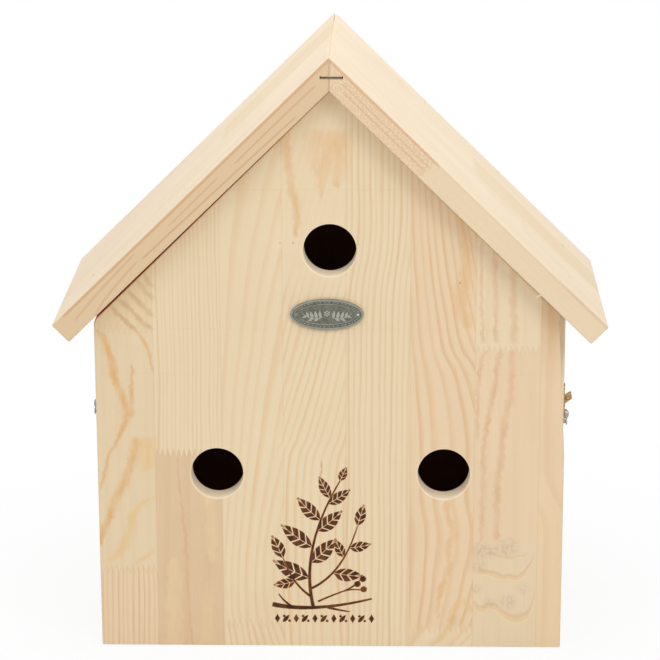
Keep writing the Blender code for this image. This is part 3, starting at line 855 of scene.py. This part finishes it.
left_roof_tiers = [
    [
        roof_piece(-20, 60, 4.2, 0.35),
        roof_piece(60, 40, 3.4),
        roof_piece(-90, 30, 4.4),
        roof_piece(150, 30, 3.0),
    ],
    [
        roof_piece(-120, 50, 3.6, 0.35),
        roof_piece(100, 40, 3.8, 0.45),
        roof_piece(-40, 20, 3.4, early=cream),
        roof_piece(0, 40, 4.0),
    ],
]
left_roof_joints = [[slow_change(169, 4), finger_joint(150), finger_joint(96), finger_joint(190)]]
right_roof_tiers = [
    [
        roof_piece(-30, 50, 3.4, 0.45),
        roof_piece(-30, 50, 3.6),
        roof_piece(90, 30, 4.6, 0.45),
        roof_piece(150, 30, 3.2),
    ],
    [
        roof_piece(-150, 80, 3.6),
        roof_piece(-20, 44, 4.4, 0.45),
        roof_piece(60, 30, 3.2, early=cream),
        roof_piece(20, 40, 4.0),
    ],
]
right_roof_joints = [[slow_change(-90, 3), finger_joint(-170), finger_joint(-128), finger_joint(-60)]]
print("the ridge is", round(ridge_height, 4), "m high")

# %% [markdown]
# The front edges are darker than the tops, with a reddish line where edge and top meet and a few lines that
# run down the slope. They are streaks again, now with a distance down the slope and a depth below the top.
# The right edge changes at a joint: above it the saw has left a warm, furry surface, below it the wood is
# pale. A brown stain lies along the upper corner near the right eave.

# %% Marks on the roof
front_edge_band = 0.5
edge_tone = tone(219, 187, 146)
edge_line = tone(207, 162, 117)
furry = tone(221, 187, 148)
pale_edge = tone(232, 208, 172)
furry_end = -90
stain_start = -192
stain_fade = 20
stain_share = 0.2
edge_share = 0.75
left_edge_lines = [
    ([(0, 0.9, 1.7), (230, 0.9, 1.7)], 0.75),
    ([(18, 6.6, 1.2), (50, 6.2, 1.3), (86, 6.4, 1.0)], 0.6),
    ([(40, 11.7, 1.1), (100, 10.3, 1.3), (168, 9.1, 1.4)], 0.7),
    ([(100, 5.4, 1.0), (120, 5.6, 1.3), (142, 5.8, 1.0)], 0.5),
    ([(170, 3.5, 1.4), (200, 5.0, 1.8), (226, 7.5, 1.6)], 0.45),
    ([(172, 8.0, 1.4), (196, 10.0, 1.8), (214, 13.5, 1.6)], 0.45),
]
right_edge_lines = [
    ([(-94, 0.9, 1.4), (-60, 0.9, 1.6), (0, 0.9, 1.9)], 0.6),
    ([(-230, 0.6, 0.7), (-96, 0.8, 1.0)], 0.2),
    ([(-232, 14.7, 0.5), (-10, 14.7, 0.5)], 0.5),
    ([(-89, 9.0, 1.2), (-21, 9.0, 1.4)], 0.4),
    ([(-90, 5.6, 1.0), (-17, 5.8, 1.3)], 0.35),
]


def edge_wood(tree, colour, over, depth, along, wood, lines):
    """The front edge of a slope: its own wood, with lines that run down the slope."""
    on_edge = over.math("LESS_THAN", roof_front + front_edge_band)
    colour = blend(tree, on_edge * edge_share, colour, wood)
    for points, weight in lines:
        line = streak(tree, along, depth, points, weight) * on_edge
        colour = blend(tree, line, colour, edge_line)
    return colour


def mark_left_roof(tree, colour, over, depth, along):
    return edge_wood(tree, colour, over, depth, along, edge_tone, left_edge_lines)


def mark_right_roof(tree, colour, over, depth, along):
    fur_frays = noise(tree, depth * 0.4, along * 0.1, 1.0, detail=3) * 8
    above = (along + fur_frays).ramp(furry_end - 1.5, furry_end + 1.5)
    fur = noise(tree, along * 0.6 + depth * 0.4, depth * 1.5, 4.0, detail=3).ramp(-0.06, 0.14)
    warm = blend(tree, fur * 0.85, furry, tone(243, 219, 184))
    saw_marks = noise(tree, along * 0.25, depth * 1.3, 8.0, detail=4, roughness=0.65)
    below = blend(tree, saw_marks.ramp(0.02, 0.3) * 0.6, pale_edge, furry)
    below = blend(tree, saw_marks.ramp(-0.05, -0.3) * 0.5, below, tone(246, 228, 200))
    wood = blend(tree, above, below, warm)
    colour = edge_wood(tree, colour, over, depth, along, wood, right_edge_lines)
    corner = (over - roof_front + depth).ramp(1.8, 0.6)
    length = along.ramp(stain_start, stain_start - stain_fade)
    return blend(tree, corner * length * stain_share, colour, tone(160, 112, 72))


down_left = (-math.cos(roof_pitch), 0, -math.sin(roof_pitch))
up_right = (-math.cos(roof_pitch), 0, math.sin(roof_pitch))
for word, grain, tiers, joints, marks, seed in (
    ("left", down_left, left_roof_tiers, left_roof_joints, mark_left_roof, 21.0),
    ("right", up_right, right_roof_tiers, right_roof_joints, mark_right_roof, 34.0),
):
    finish = panel_finish(
        word + "_roof_pine", grain, (0, 1, 0), (0, 0, ridge_height), roof_seams, tiers, joints, seed,
        marks=marks, inside={"facing_down": True},
    )
    dress(word + "_roof_board", finish)

# %% [markdown]
# ## The other panels
#
# The sides, the back and the inner boards are cut from panels of the same kind, but nobody has to match
# them ring by ring. Their staves are drawn at random from a fixed seed, so every run gives the same boards.

# %% Staves drawn at random
stave_width = 40


def random_panel(low, high, length, seed):
    """Seams, tiers and joints for a panel between two edges, all in millimetres."""
    dice = random.Random(seed)
    count = max(2, round((high - low) / stave_width))
    width = (high - low) / count
    seams = [low + width * (number + 1) + dice.uniform(-3, 3) for number in range(count - 1)]
    tiers = []
    for _ in range(2):
        pieces = []
        for number in range(count):
            middle = low + width * (number + 0.5)
            far = dice.choice((-1, 1)) * dice.uniform(12, 150)
            pieces.append(piece(
                middle + far, dice.uniform(8, 50), dive=dice.uniform(-0.05, 0.05),
                lean=dice.uniform(-0.04, 0.04), pitch=dice.uniform(2.6, 6.5),
                strength=dice.uniform(0.35, 0.7), early=dice.choice((cream, cream, straw, rose)),
                late=dice.choice((tan_line, rust_line, honey_line)),
            ))
        tiers.append(pieces)
    joints = [[finger_joint(dice.uniform(0.15, 0.85) * length) for _ in range(count)]]
    return seams, tiers, joints


# painted light on the front edge of each side board, where the front board shades it
lit_edge_band = 0.4
edge_light_share = 0.85


def painted_light_front_edge(tree, colour, over, depth, along):
    """The front edge of a side board, which shows behind the worn corner of the front: painted pale, as
    painted light where the front board shades it.
    """
    on_edge = over.math("LESS_THAN", chamber_front * mm + lit_edge_band)
    return blend(tree, on_edge * edge_light_share, colour, tone(253, 236, 204))


def panel(node, grain, across, seed, marks=None):
    """Dresses a board: the grain and across axes are unit vectors, and its size comes from the solid."""
    low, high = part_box(node)
    grain, across = Vector(grain), Vector(across)
    widths = [corner.dot(across) * mm for corner in (low, high)]
    lengths = [corner.dot(grain) * mm for corner in (low, high)]
    seams, tiers, joints = random_panel(min(widths), max(widths), max(lengths) - min(lengths), seed)
    start = grain * (min(lengths) / mm)
    dress(node, panel_finish(
        node + "_pine", grain, across, start, seams, tiers, joints, seed, marks=marks, inside={},
    ))


upwards, sideways, backwards = (0, 0, 1), (1, 0, 0), (0, 1, 0)
panel("left_side_board", upwards, backwards, seed=45, marks=painted_light_front_edge)
panel("right_side_board", upwards, backwards, seed=58, marks=painted_light_front_edge)
panel("back_board", upwards, sideways, seed=60)
panel("floor_board", sideways, backwards, seed=72)
panel("chamber_shelf", sideways, backwards, seed=83)
panel("chamber_divider", upwards, backwards, seed=94)

# %% [markdown]
# ## Metal and dowels
#
# The small metal pieces could all share one grey. Up close each plating differs: bright zinc goes cloudy,
# the hooks are passivated to a mottled straw yellow, brads are dull dark wire. So one function makes a
# plated metal from a clean tone, a dull tone and a roughness, and noise decides where it has gone dull.

# %% Plated metal
def plated(name, clean, dull, roughness, metallic=0.9, grain=900.0):
    material, tree, shader, place = new_finish(name)
    x, y, z = (dot(tree, place["Object"], axis * grain) for axis in three_axes)
    cloud = noise(tree, x, y, z, detail=3)
    tree.links.new(blend(tree, cloud.ramp(-0.1, 0.2), clean, dull), shader.inputs["Base Color"])
    shader.inputs["Metallic"].default_value = metallic
    feed(shader.inputs["Roughness"], cloud * 0.3 + roughness)
    bump(tree, shader, 0.25, 0.00005, noise(tree, x * 3, y * 3, z * 3, detail=2))
    return material


zinc = plated("cloudy_zinc", tone(176, 177, 176), tone(120, 122, 122), 0.36)
straw_zinc = plated("straw_zinc", tone(204, 168, 120), tone(134, 98, 66), 0.4)
brad_wire = plated("brad_wire", tone(104, 100, 96), tone(62, 58, 54), 0.5)
staple_wire = plated("staple_wire", tone(96, 90, 88), tone(62, 58, 56), 0.45)
for node in boards_and_metal:
    if "_brad_" in node:
        dress(node, brad_wire)
for side in ("left", "right"):
    dress(side + "_pivot_screw", zinc)
    dress(side + "_catch_pin", zinc)
    dress(side + "_hook", straw_zinc)
for end in ("front", "back"):
    dress("ridge_staple_" + end, staple_wire)

# %% [markdown]
# The two dowels are turned beech, a close wood with short dark flecks along its grain. It takes the same
# fibres as the pine, without rings.

# %% Beech
def beech_finish():
    material, tree, shader, place = new_finish("dowel_beech")
    x, y, z = (dot(tree, place["Object"], axis * mm) for axis in three_axes)
    fibre = noise(tree, x * 2.4, y * 0.2, z * 2.4, detail=3)
    fleck = noise(tree, x * 4, y * 0.5, z * 4, detail=1).ramp(0.18, 0.3)
    colour = blend(tree, fibre.ramp(-0.25, 0.25), tone(222, 186, 146), tone(204, 164, 122))
    colour = blend(tree, fleck * 0.5, colour, tone(160, 112, 76))
    tree.links.new(colour, shader.inputs["Base Color"])
    feed(shader.inputs["Roughness"], fibre * 0.2 + 0.6)
    return material


beech = beech_finish()
for side in ("left", "right"):
    dress(side + "_dowel", beech)

# %% [markdown]
# ## Thin plates from outlines
#
# The burned sprig, the relief of the badge and a few slivers of wood are all thin plates with an outline
# that someone drew. A curve object could fill each outline. Writing the plate into a mesh directly is as
# short, gives closed solids, and lets many outlines share one piece.

# %% Plates in a mesh
def widened(outline, by):
    """The same outline, moved outwards by a distance at every point."""
    area = sum(a[0] * b[1] - b[0] * a[1] for a, b in zip(outline, outline[1:] + outline[:1]))
    turn = 1 if area > 0 else -1
    result = []
    for before, here, after in zip(outline[-1:] + outline[:-1], outline, outline[1:] + outline[:1]):
        sides = [Vector(b) - Vector(a) for a, b in ((before, here), (here, after))]
        outward = sum((Vector((side.y, -side.x)).normalized() for side in sides), Vector((0, 0)))
        if outward.length < 0.3:
            outward = sides[0].normalized() + Vector((0, 1e-6))
        result.append(tuple(Vector(here) + outward.normalized() * by * turn))
    return result


def close_plate(shape, outlines):
    """Adds a closed plate between two equal outlines, each a list of places in metres."""
    rings = [[shape.verts.new(spot) for spot in outline] for outline in outlines]
    caps = [shape.faces.new(ring) for ring in rings]
    for number, corner in enumerate(rings[0]):
        after = (number + 1) % len(rings[0])
        shape.faces.new((corner, rings[0][after], rings[1][after], rings[1][number]))
    for cap in caps:
        cap.normal_update()
    bmesh.ops.triangulate(shape, faces=caps, ngon_method="EAR_CLIP")


def add_plate(shape, outline, front, back):
    """Adds a closed plate between two places along Y. Its outline holds (x, z) points in millimetres."""
    close_plate(shape, [[(x / mm, y, z / mm) for x, z in outline] for y in (front, back)])


def as_piece(name, shape, material, body):
    """Turns a finished mesh into a piece that rides on a body."""
    bmesh.ops.recalc_face_normals(shape, faces=shape.faces)
    mesh = bpy.data.meshes.new(name)
    shape.to_mesh(mesh)
    shape.free()
    mesh.materials.append(material)
    made = bpy.data.objects.new(name, mesh)
    scene.collection.objects.link(made)
    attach(made, body)
    print(name, "has", len(mesh.polygons), "faces")
    return made


# %% Lines, ribbons and leaves
def bow(start, pull, end, steps=10):
    """Points of a curve that leaves its start towards the pull point and arrives at its end from there."""
    points = []
    for step in range(steps + 1):
        t = step / steps
        weights = ((1 - t) ** 2, 2 * t * (1 - t), t ** 2)
        points.append(tuple(sum(w * p[axis] for w, p in zip(weights, (start, pull, end))) for axis in (0, 1)))
    return points


def ribbon(points, thick, thin):
    """The outline of a line that tapers from a thick start to a thin end."""
    left, right = [], []
    for number, point in enumerate(points):
        before, after = points[max(number - 1, 0)], points[min(number + 1, len(points) - 1)]
        ahead = (Vector(after) - Vector(before)).normalized()
        half = (thick + (thin - thick) * number / (len(points) - 1)) / 2
        left.append((point[0] - ahead.y * half, point[1] + ahead.x * half))
        right.append((point[0] + ahead.y * half, point[1] - ahead.x * half))
    return left + right[::-1]


leaf_fullness = 0.85
vein_gap = 0.13
rib_gap = 0.3


def leaf_axes(heading):
    """The directions along a leaf and across it, for a heading in degrees."""
    angle = math.radians(heading)
    return Vector((math.cos(angle), math.sin(angle))), Vector((-math.sin(angle), math.cos(angle)))


def leaf(base, heading, length, width, curl=0.0, veins=5):
    """A leaf as a print cutter makes it: two halves about a pale rib, each split by pale veins."""
    ahead, aside = leaf_axes(heading)

    def half_width(s):
        return width / 2 * math.sin(math.pi * min(max(s, 0), 1) ** leaf_fullness)

    def spot(s, distance):
        return tuple(Vector(base) + ahead * length * s + aside * (distance + curl * length * s * s))

    outlines = []
    for side in (-1, 1):
        for number in range(veins):
            first, last = (number + vein_gap) / veins, (number + 1 - vein_gap) / veins
            forward = 0.7 / veins
            if half_width((first + last) / 2) < rib_gap * 2:
                continue
            inner = [spot(s, side * rib_gap) for s in (first, last)]
            outer = []
            for share in (1, 0.5, 0):
                s = min(first + (last - first) * share + forward, 0.995)
                outer.append(spot(s, side * max(half_width(s), rib_gap + 0.15)))
            outlines.append(inner + outer)
    return outlines


def almond(base, heading, length, width, steps=6):
    """A small plain leaf."""
    ahead, aside = leaf_axes(heading)
    shares = [step / steps for step in range(steps + 1)]
    sides = [(share, 1) for share in shares] + [(share, -1) for share in shares[-2:0:-1]]
    return [
        tuple(Vector(base) + ahead * length * s + aside * side * width / 2 * math.sin(math.pi * s ** 0.8))
        for s, side in sides
    ]


def disc(centre, radius, steps=14):
    turns = [2 * math.pi * step / steps for step in range(steps)]
    return [(centre[0] + radius * math.cos(a), centre[1] + radius * math.sin(a)) for a in turns]


print("a leaf has", len(leaf((0, 0), 90, 20, 8)), "cells")

# %% [markdown]
# ## The burned sprig
#
# The front carries a picture burned into the wood, dark brown with an orange scorch around it. Here it is a
# plain garden sprig with leaves and berries over a twig, and a row of lozenges and small leaves below it.
# A burn could be a mask in the wood's material. As thin plates it stays crisp at any distance: one layer
# of char, and under it a slightly wider and thinner layer for the scorched edge. Plates that cross would
# shade each other if they lay in one plane, so each one stands a hair above the one before it.

# %% Drawing the sprig
def sprig_outlines():
    outlines = []
    stem = bow((-11, 27), (-20, 66), (6, 112), steps=24)
    side_stem = bow((-12, 40), (8, 50), (17, 82), steps=16)
    low_stem = bow((-12, 34), (-24, 42), (-30, 60), steps=12)
    for points, thick, thin in (
        (stem, 2.0, 0.5),
        (side_stem, 1.3, 0.4),
        (low_stem, 1.3, 0.4),
        (bow((-37, 29), (-12, 23), (26, 33), steps=18), 2.8, 0.9),
        (bow((-2, 27), (6, 25), (12, 24.2), steps=8), 1.4, 0.4),
        (bow((-24, 27), (-30, 31), (-33, 36), steps=8), 1.3, 0.4),
        (bow((-8, 31), (0, 35), (8.4, 38.2), steps=8), 0.9, 0.5),
    ):
        outlines.append(ribbon(points, thick, thin))

    for number, heading, length, width, curl in (
        (6, 160, 26, 10.5, -0.12), (9, 38, 23, 10, 0.12), (12, 150, 25, 10, -0.12), (15, 34, 21, 9, 0.12),
        (17, 140, 21, 8.5, -0.1), (20, 28, 17, 7, 0.1), (21, 122, 16, 6.5, -0.1),
    ):
        outlines += leaf(stem[number], heading, length, width, curl)
    outlines += leaf(stem[-1], 66, 10, 5, veins=4)
    for number, heading, length, width, curl in (
        (6, -14, 19, 8.5, 0.14), (10, 122, 13, 6, -0.12), (12, 4, 14, 6.5, 0.12), (16, 74, 15, 6.5, 0),
    ):
        outlines += leaf(side_stem[number], heading, length, width, curl, veins=4)
    outlines += leaf(low_stem[6], 196, 14, 6.5, -0.1, veins=4)
    outlines += leaf(low_stem[-1], 112, 17, 7.5, 0.05, veins=4)

    for x, z in ((17, 43), (21, 39.5), (20.5, 46.5)):
        outlines.append(disc((x, z), 1.9))
        outlines.append(ribbon(bow((8, 38), (13, 40), (x - 1.4, z - 0.6), steps=6), 0.6, 0.4))
    return outlines


def border_outlines():
    """The row of lozenges and leaves below the sprig."""
    outlines = []
    start, pitch, middle, half = -34.0, 6.0, 19.4, 2.8
    for number in range(11):
        x = start + pitch * number
        if number % 2:
            outlines.append(almond((x - 2.4, middle - half + 0.4), 50, 6.2, 2.2))
            outlines.append(disc((x - 1.7, middle + 1.6), 0.7, steps=8))
            outlines.append(disc((x + 1.7, middle - 1.6), 0.7, steps=8))
        else:
            outlines.append([(x - 1.5, middle), (x, middle - half), (x + 1.5, middle), (x, middle + half)])
    return outlines


drawing = sprig_outlines() + border_outlines()
reach = [[point[axis] for outline in drawing for point in outline] for axis in (0, 1)]
print("the drawing spans", [(round(min(values), 1), round(max(values), 1)) for values in reach], "mm")

# %% [markdown]
# Char is matt and nearly black-brown where the iron rested, and lighter where it moved on. The scorch goes
# from orange-brown to the tone of the wood.

# %% Burned wood
def burned(name, dark, light, scale):
    material, tree, shader, place = new_finish(name)
    x, z = (dot(tree, place["Object"], axis * mm) for axis in (three_axes[0], three_axes[2]))
    patch = noise(tree, x * scale, z * scale, 3.0, detail=3)
    grain = noise(tree, x * 1.4, z * 0.06, 7.0, detail=2)
    colour = blend(tree, (patch + grain * 0.5).ramp(-0.16, 0.26), dark, light)
    tree.links.new(colour, shader.inputs["Base Color"])
    shader.inputs["Roughness"].default_value = 0.85
    shader.inputs["Specular IOR Level"].default_value = 0.15
    return material


char = burned("char", tone(66, 42, 32), tone(112, 72, 46), 0.16)
scorch = burned("scorch", tone(164, 106, 58), tone(204, 152, 98), 0.4)
plate_root = 0.00005
hair = 0.0000001
for name, material, by, proud in (
    ("burned_sprig_scorch", scorch, 0.28, 0.00002),
    ("burned_sprig", char, 0.0, 0.00006),
):
    shape = bmesh.new()
    for number, outline in enumerate(drawing):
        add_plate(shape, widened(outline, by), front_low.y - proud - hair * number, front_low.y + plate_root)
    as_piece(name, shape, material, "front")

# %% [markdown]
# ## The badge
#
# The badge is a small cast oval. Casting fills a mould with soft relief, and later handling brightens what
# stands out while the low field stays dark. Its relief here is plain ornament: an inner ring, a border of
# beads, and two leafy sprigs about a rosette. The patina needs no image either, because how far a point
# stands out from the field says how bright it has been rubbed.

# %% Relief of the badge
badge_low, badge_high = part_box("badge_plate")
badge_middle = (badge_low + badge_high) / 2
badge_half = (badge_high - badge_low) / 2
field_depth = 0.0005
field_y = badge_low.y + field_depth
relief_rise = 0.00034
ring_scale = (0.80, 0.66)
bead_scale = (0.885, 0.80)
bead_count = 46
ring_width, bead_radius = 0.0006, 0.00042
petal_count, petal_reach, petal_radius = 6, 1.35, 0.0007
heart_rise, heart_radius = 0.6, 0.0006


def ellipse_place(turn, scale):
    """A place on an oval about the middle of the badge, as (x, z) in metres."""
    return (
        badge_middle.x + badge_half.x * scale[0] * math.cos(turn),
        badge_middle.z + badge_half.z * scale[1] * math.sin(turn),
    )


def add_ring(shape, scale, width, steps=56):
    """A ridge with a triangular section that runs round an oval."""
    loops = []
    for step in range(steps):
        turn = 2 * math.pi * step / steps
        x, z = ellipse_place(turn, scale)
        outward = Vector((math.cos(turn) / badge_half.x, math.sin(turn) / badge_half.z))
        outward = outward.normalized() * width / 2
        loops.append([
            shape.verts.new((x - outward.x, field_y + plate_root, z - outward.y)),
            shape.verts.new((x, field_y - relief_rise, z)),
            shape.verts.new((x + outward.x, field_y + plate_root, z + outward.y)),
        ])
    for here, after in zip(loops, loops[1:] + loops[:1]):
        for first, second in ((0, 1), (1, 2), (2, 0)):
            shape.faces.new((here[first], here[second], after[second], after[first]))


def add_bead(shape, x, z, radius):
    """A small dome, flattened towards the field."""
    place = Matrix.Translation((x, field_y, z)) @ Matrix.Diagonal((radius, relief_rise, radius, 1))
    bmesh.ops.create_icosphere(shape, subdivisions=2, radius=1, matrix=place)


def badge_relief():
    shape = bmesh.new()
    add_ring(shape, ring_scale, ring_width)
    for number in range(bead_count):
        x, z = ellipse_place(2 * math.pi * number / bead_count, bead_scale)
        add_bead(shape, x, z, bead_radius)
    middle = (badge_middle.x * mm, badge_middle.z * mm)
    sprigs = []
    for side in (-1, 1):
        stem = bow((middle[0] + side * 3.0, middle[1] - 1.4), (middle[0] + side * 8, middle[1] - 5.0),
                   (middle[0] + side * 15.5, middle[1] + 0.8), steps=10)
        sprigs.append(ribbon(stem, 0.7, 0.4))
        for number, turn, length, width in (
            (1, 84, 4.6, 1.9), (3, 76, 5.2, 2.1), (5, 70, 5.0, 2.0), (7, 66, 4.0, 1.7),
            (2, -32, 3.6, 1.4), (5, -26, 3.8, 1.5), (8, -16, 3.0, 1.3),
        ):
            sprigs.append(almond(stem[number], turn if side > 0 else 180 - turn, length, width))
    heart = (middle[0], middle[1] + heart_rise)
    for number in range(petal_count):
        turn = math.radians(360 / petal_count * number + 30)
        petal = (heart[0] + petal_reach * math.cos(turn), heart[1] + petal_reach * math.sin(turn))
        add_bead(shape, petal[0] / mm, petal[1] / mm, petal_radius)
    add_bead(shape, heart[0] / mm, heart[1] / mm, heart_radius)
    for number, outline in enumerate(sprigs):
        add_plate(shape, outline, field_y - relief_rise * 0.8 - hair * number, field_y + plate_root)
    return shape


print("the badge is", round(2 * badge_half.x * mm, 1), "by", round(2 * badge_half.z * mm, 1), "mm")


# %% Aged pewter
def pewter_finish():
    material, tree, shader, place = new_finish("aged_pewter")
    x, y, z = (dot(tree, place["Object"], axis * mm) for axis in three_axes)
    above_field = y * -1 + field_y * mm
    raised = above_field.ramp(-0.02, relief_rise * mm) - above_field.ramp(0.38, 0.46) * 0.5
    cloud = noise(tree, x * 0.5, y, z * 0.5, detail=3)
    grit = noise(tree, x * 3, y * 3, z * 3, detail=2)
    colour = blend(tree, cloud.ramp(-0.2, 0.25), tone(96, 97, 84), tone(122, 122, 108))
    colour = blend(tree, raised * 0.75, colour, tone(190, 190, 178))
    colour = blend(tree, grit.ramp(0.05, 0.25) * 0.35, colour, tone(72, 72, 60))
    tree.links.new(colour, shader.inputs["Base Color"])
    shader.inputs["Metallic"].default_value = 0.35
    feed(shader.inputs["Roughness"], grit * 0.3 + raised * -0.12 + 0.55)
    bump(tree, shader, 0.5, 0.00008, grit + cloud * 0.4)
    return material


pewter = pewter_finish()
dress("badge_plate", pewter)
dress("left_badge_pin", pewter)
dress("right_badge_pin", plated("rubbed_pin", tone(232, 232, 226), tone(196, 196, 188), 0.3))
as_piece("badge_relief", badge_relief(), pewter, "front")

# %% [markdown]
# ## Glue in the ridge, and a splinter
#
# The two slopes are glued along their mitre, and the glue shows as a faint seam at the front. So a sheet of
# hardened glue fills the mitre, short of both ends and with room for the front staple. The lower edge of
# the right slope has also kept one pale splinter from the saw, near its eave.

# %% The glue line
glue_half = 0.000145
glue_recess = 0.0004
staple_room = 0.0012
glue_start_back = 0.028
glue_below_ridge, glue_height = 0.0005, 0.02


def glue_sheet():
    """A sheet in the mitre, drawn as (y, z) corners and given its thickness across the ridge."""
    front_y = roof_front / mm + glue_recess
    back_y = -roof_front / mm - glue_start_back
    top = ridge_height - glue_below_ridge
    bottom = top - glue_height
    staple_low, staple_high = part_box("ridge_staple_front")
    notch = staple_low.y + (staple_high.z - staple_low.z) + staple_room
    corners = [
        (front_y, bottom), (back_y, bottom), (back_y, top), (front_y, top),
        (front_y, staple_high.z + staple_room), (notch, staple_high.z + staple_room),
        (notch, staple_low.z - staple_room), (front_y, staple_low.z - staple_room),
    ]
    shape = bmesh.new()
    close_plate(shape, [[(x, y, z) for y, z in corners] for x in (-glue_half, glue_half)])
    return shape


glue_line = burned("glue_line", tone(232, 204, 164), tone(244, 220, 184), 0.5)
as_piece("ridge_glue", glue_sheet(), glue_line, "box")

# %% [markdown]
# The staple was shot into the wood, and torn fibres stand along its crown. Two ragged slivers, one above
# and one below the wire, fill the groove around it.

# %% Torn wood along the staple
sliver_gap = 0.00062
sliver_height = 0.0004
sliver_depth = 0.0011
sliver_recess = 0.00012
sliver_steps = 14


def torn_slivers():
    """Two strips with ragged edges, at the front of the staple's groove."""
    dice = random.Random(8)
    staple_low, staple_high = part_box("ridge_staple_front")
    middle = (staple_low.z + staple_high.z) / 2
    front = roof_front / mm + sliver_recess
    shape = bmesh.new()
    for side in (-1, 1):
        reach = staple_high.x - staple_low.x
        places = [staple_low.x + reach * step / sliver_steps for step in range(sliver_steps + 1)]
        near = [(x * mm, (middle + side * sliver_gap) * mm) for x in places]
        ragged = sliver_height * dice.uniform(0.9, 1)
        far = [(x * mm, (middle + side * (sliver_gap + ragged * dice.uniform(0.55, 1))) * mm) for x in places]
        add_plate(shape, near + far[::-1], front, front + sliver_depth)
    return shape


torn_wood = burned("torn_wood", tone(226, 194, 152), tone(246, 226, 194), 0.9)
as_piece("staple_slivers", torn_slivers(), torn_wood, "box")


# %% The splinter
splinter_root = Vector((0.1296, roof_front / mm + 0.0003, 0.2367))
splinter_reach = Vector((-0.0034, -0.0002, -0.0012))
splinter_sag = Vector((0, 0, -0.0006))


def splinter():
    """A sliver that lifts off the lower front edge of the right slope."""
    shape = bmesh.new()
    sections = []
    for share, half in ((0, 0.00045), (0.5, 0.00032), (1, 0.00006)):
        middle = splinter_root + splinter_reach * share + splinter_sag * share * share
        sections.append([
            shape.verts.new(middle + Vector(corner) * half)
            for corner in ((-0.5, 0, 1), (0.5, 0, 1), (0.5, 0.6, -1), (-0.5, 0.6, -1))
        ])
    for here, after in zip(sections, sections[1:]):
        for number in range(4):
            second = (number + 1) % 4
            shape.faces.new((here[number], here[second], after[second], after[number]))
    shape.faces.new(sections[0])
    shape.faces.new(sections[-1])
    return shape


splinter_wood = burned("splinter_wood", tone(244, 230, 204), tone(252, 242, 222), 0.6)
as_piece("eave_splinter", splinter(), splinter_wood, "box")
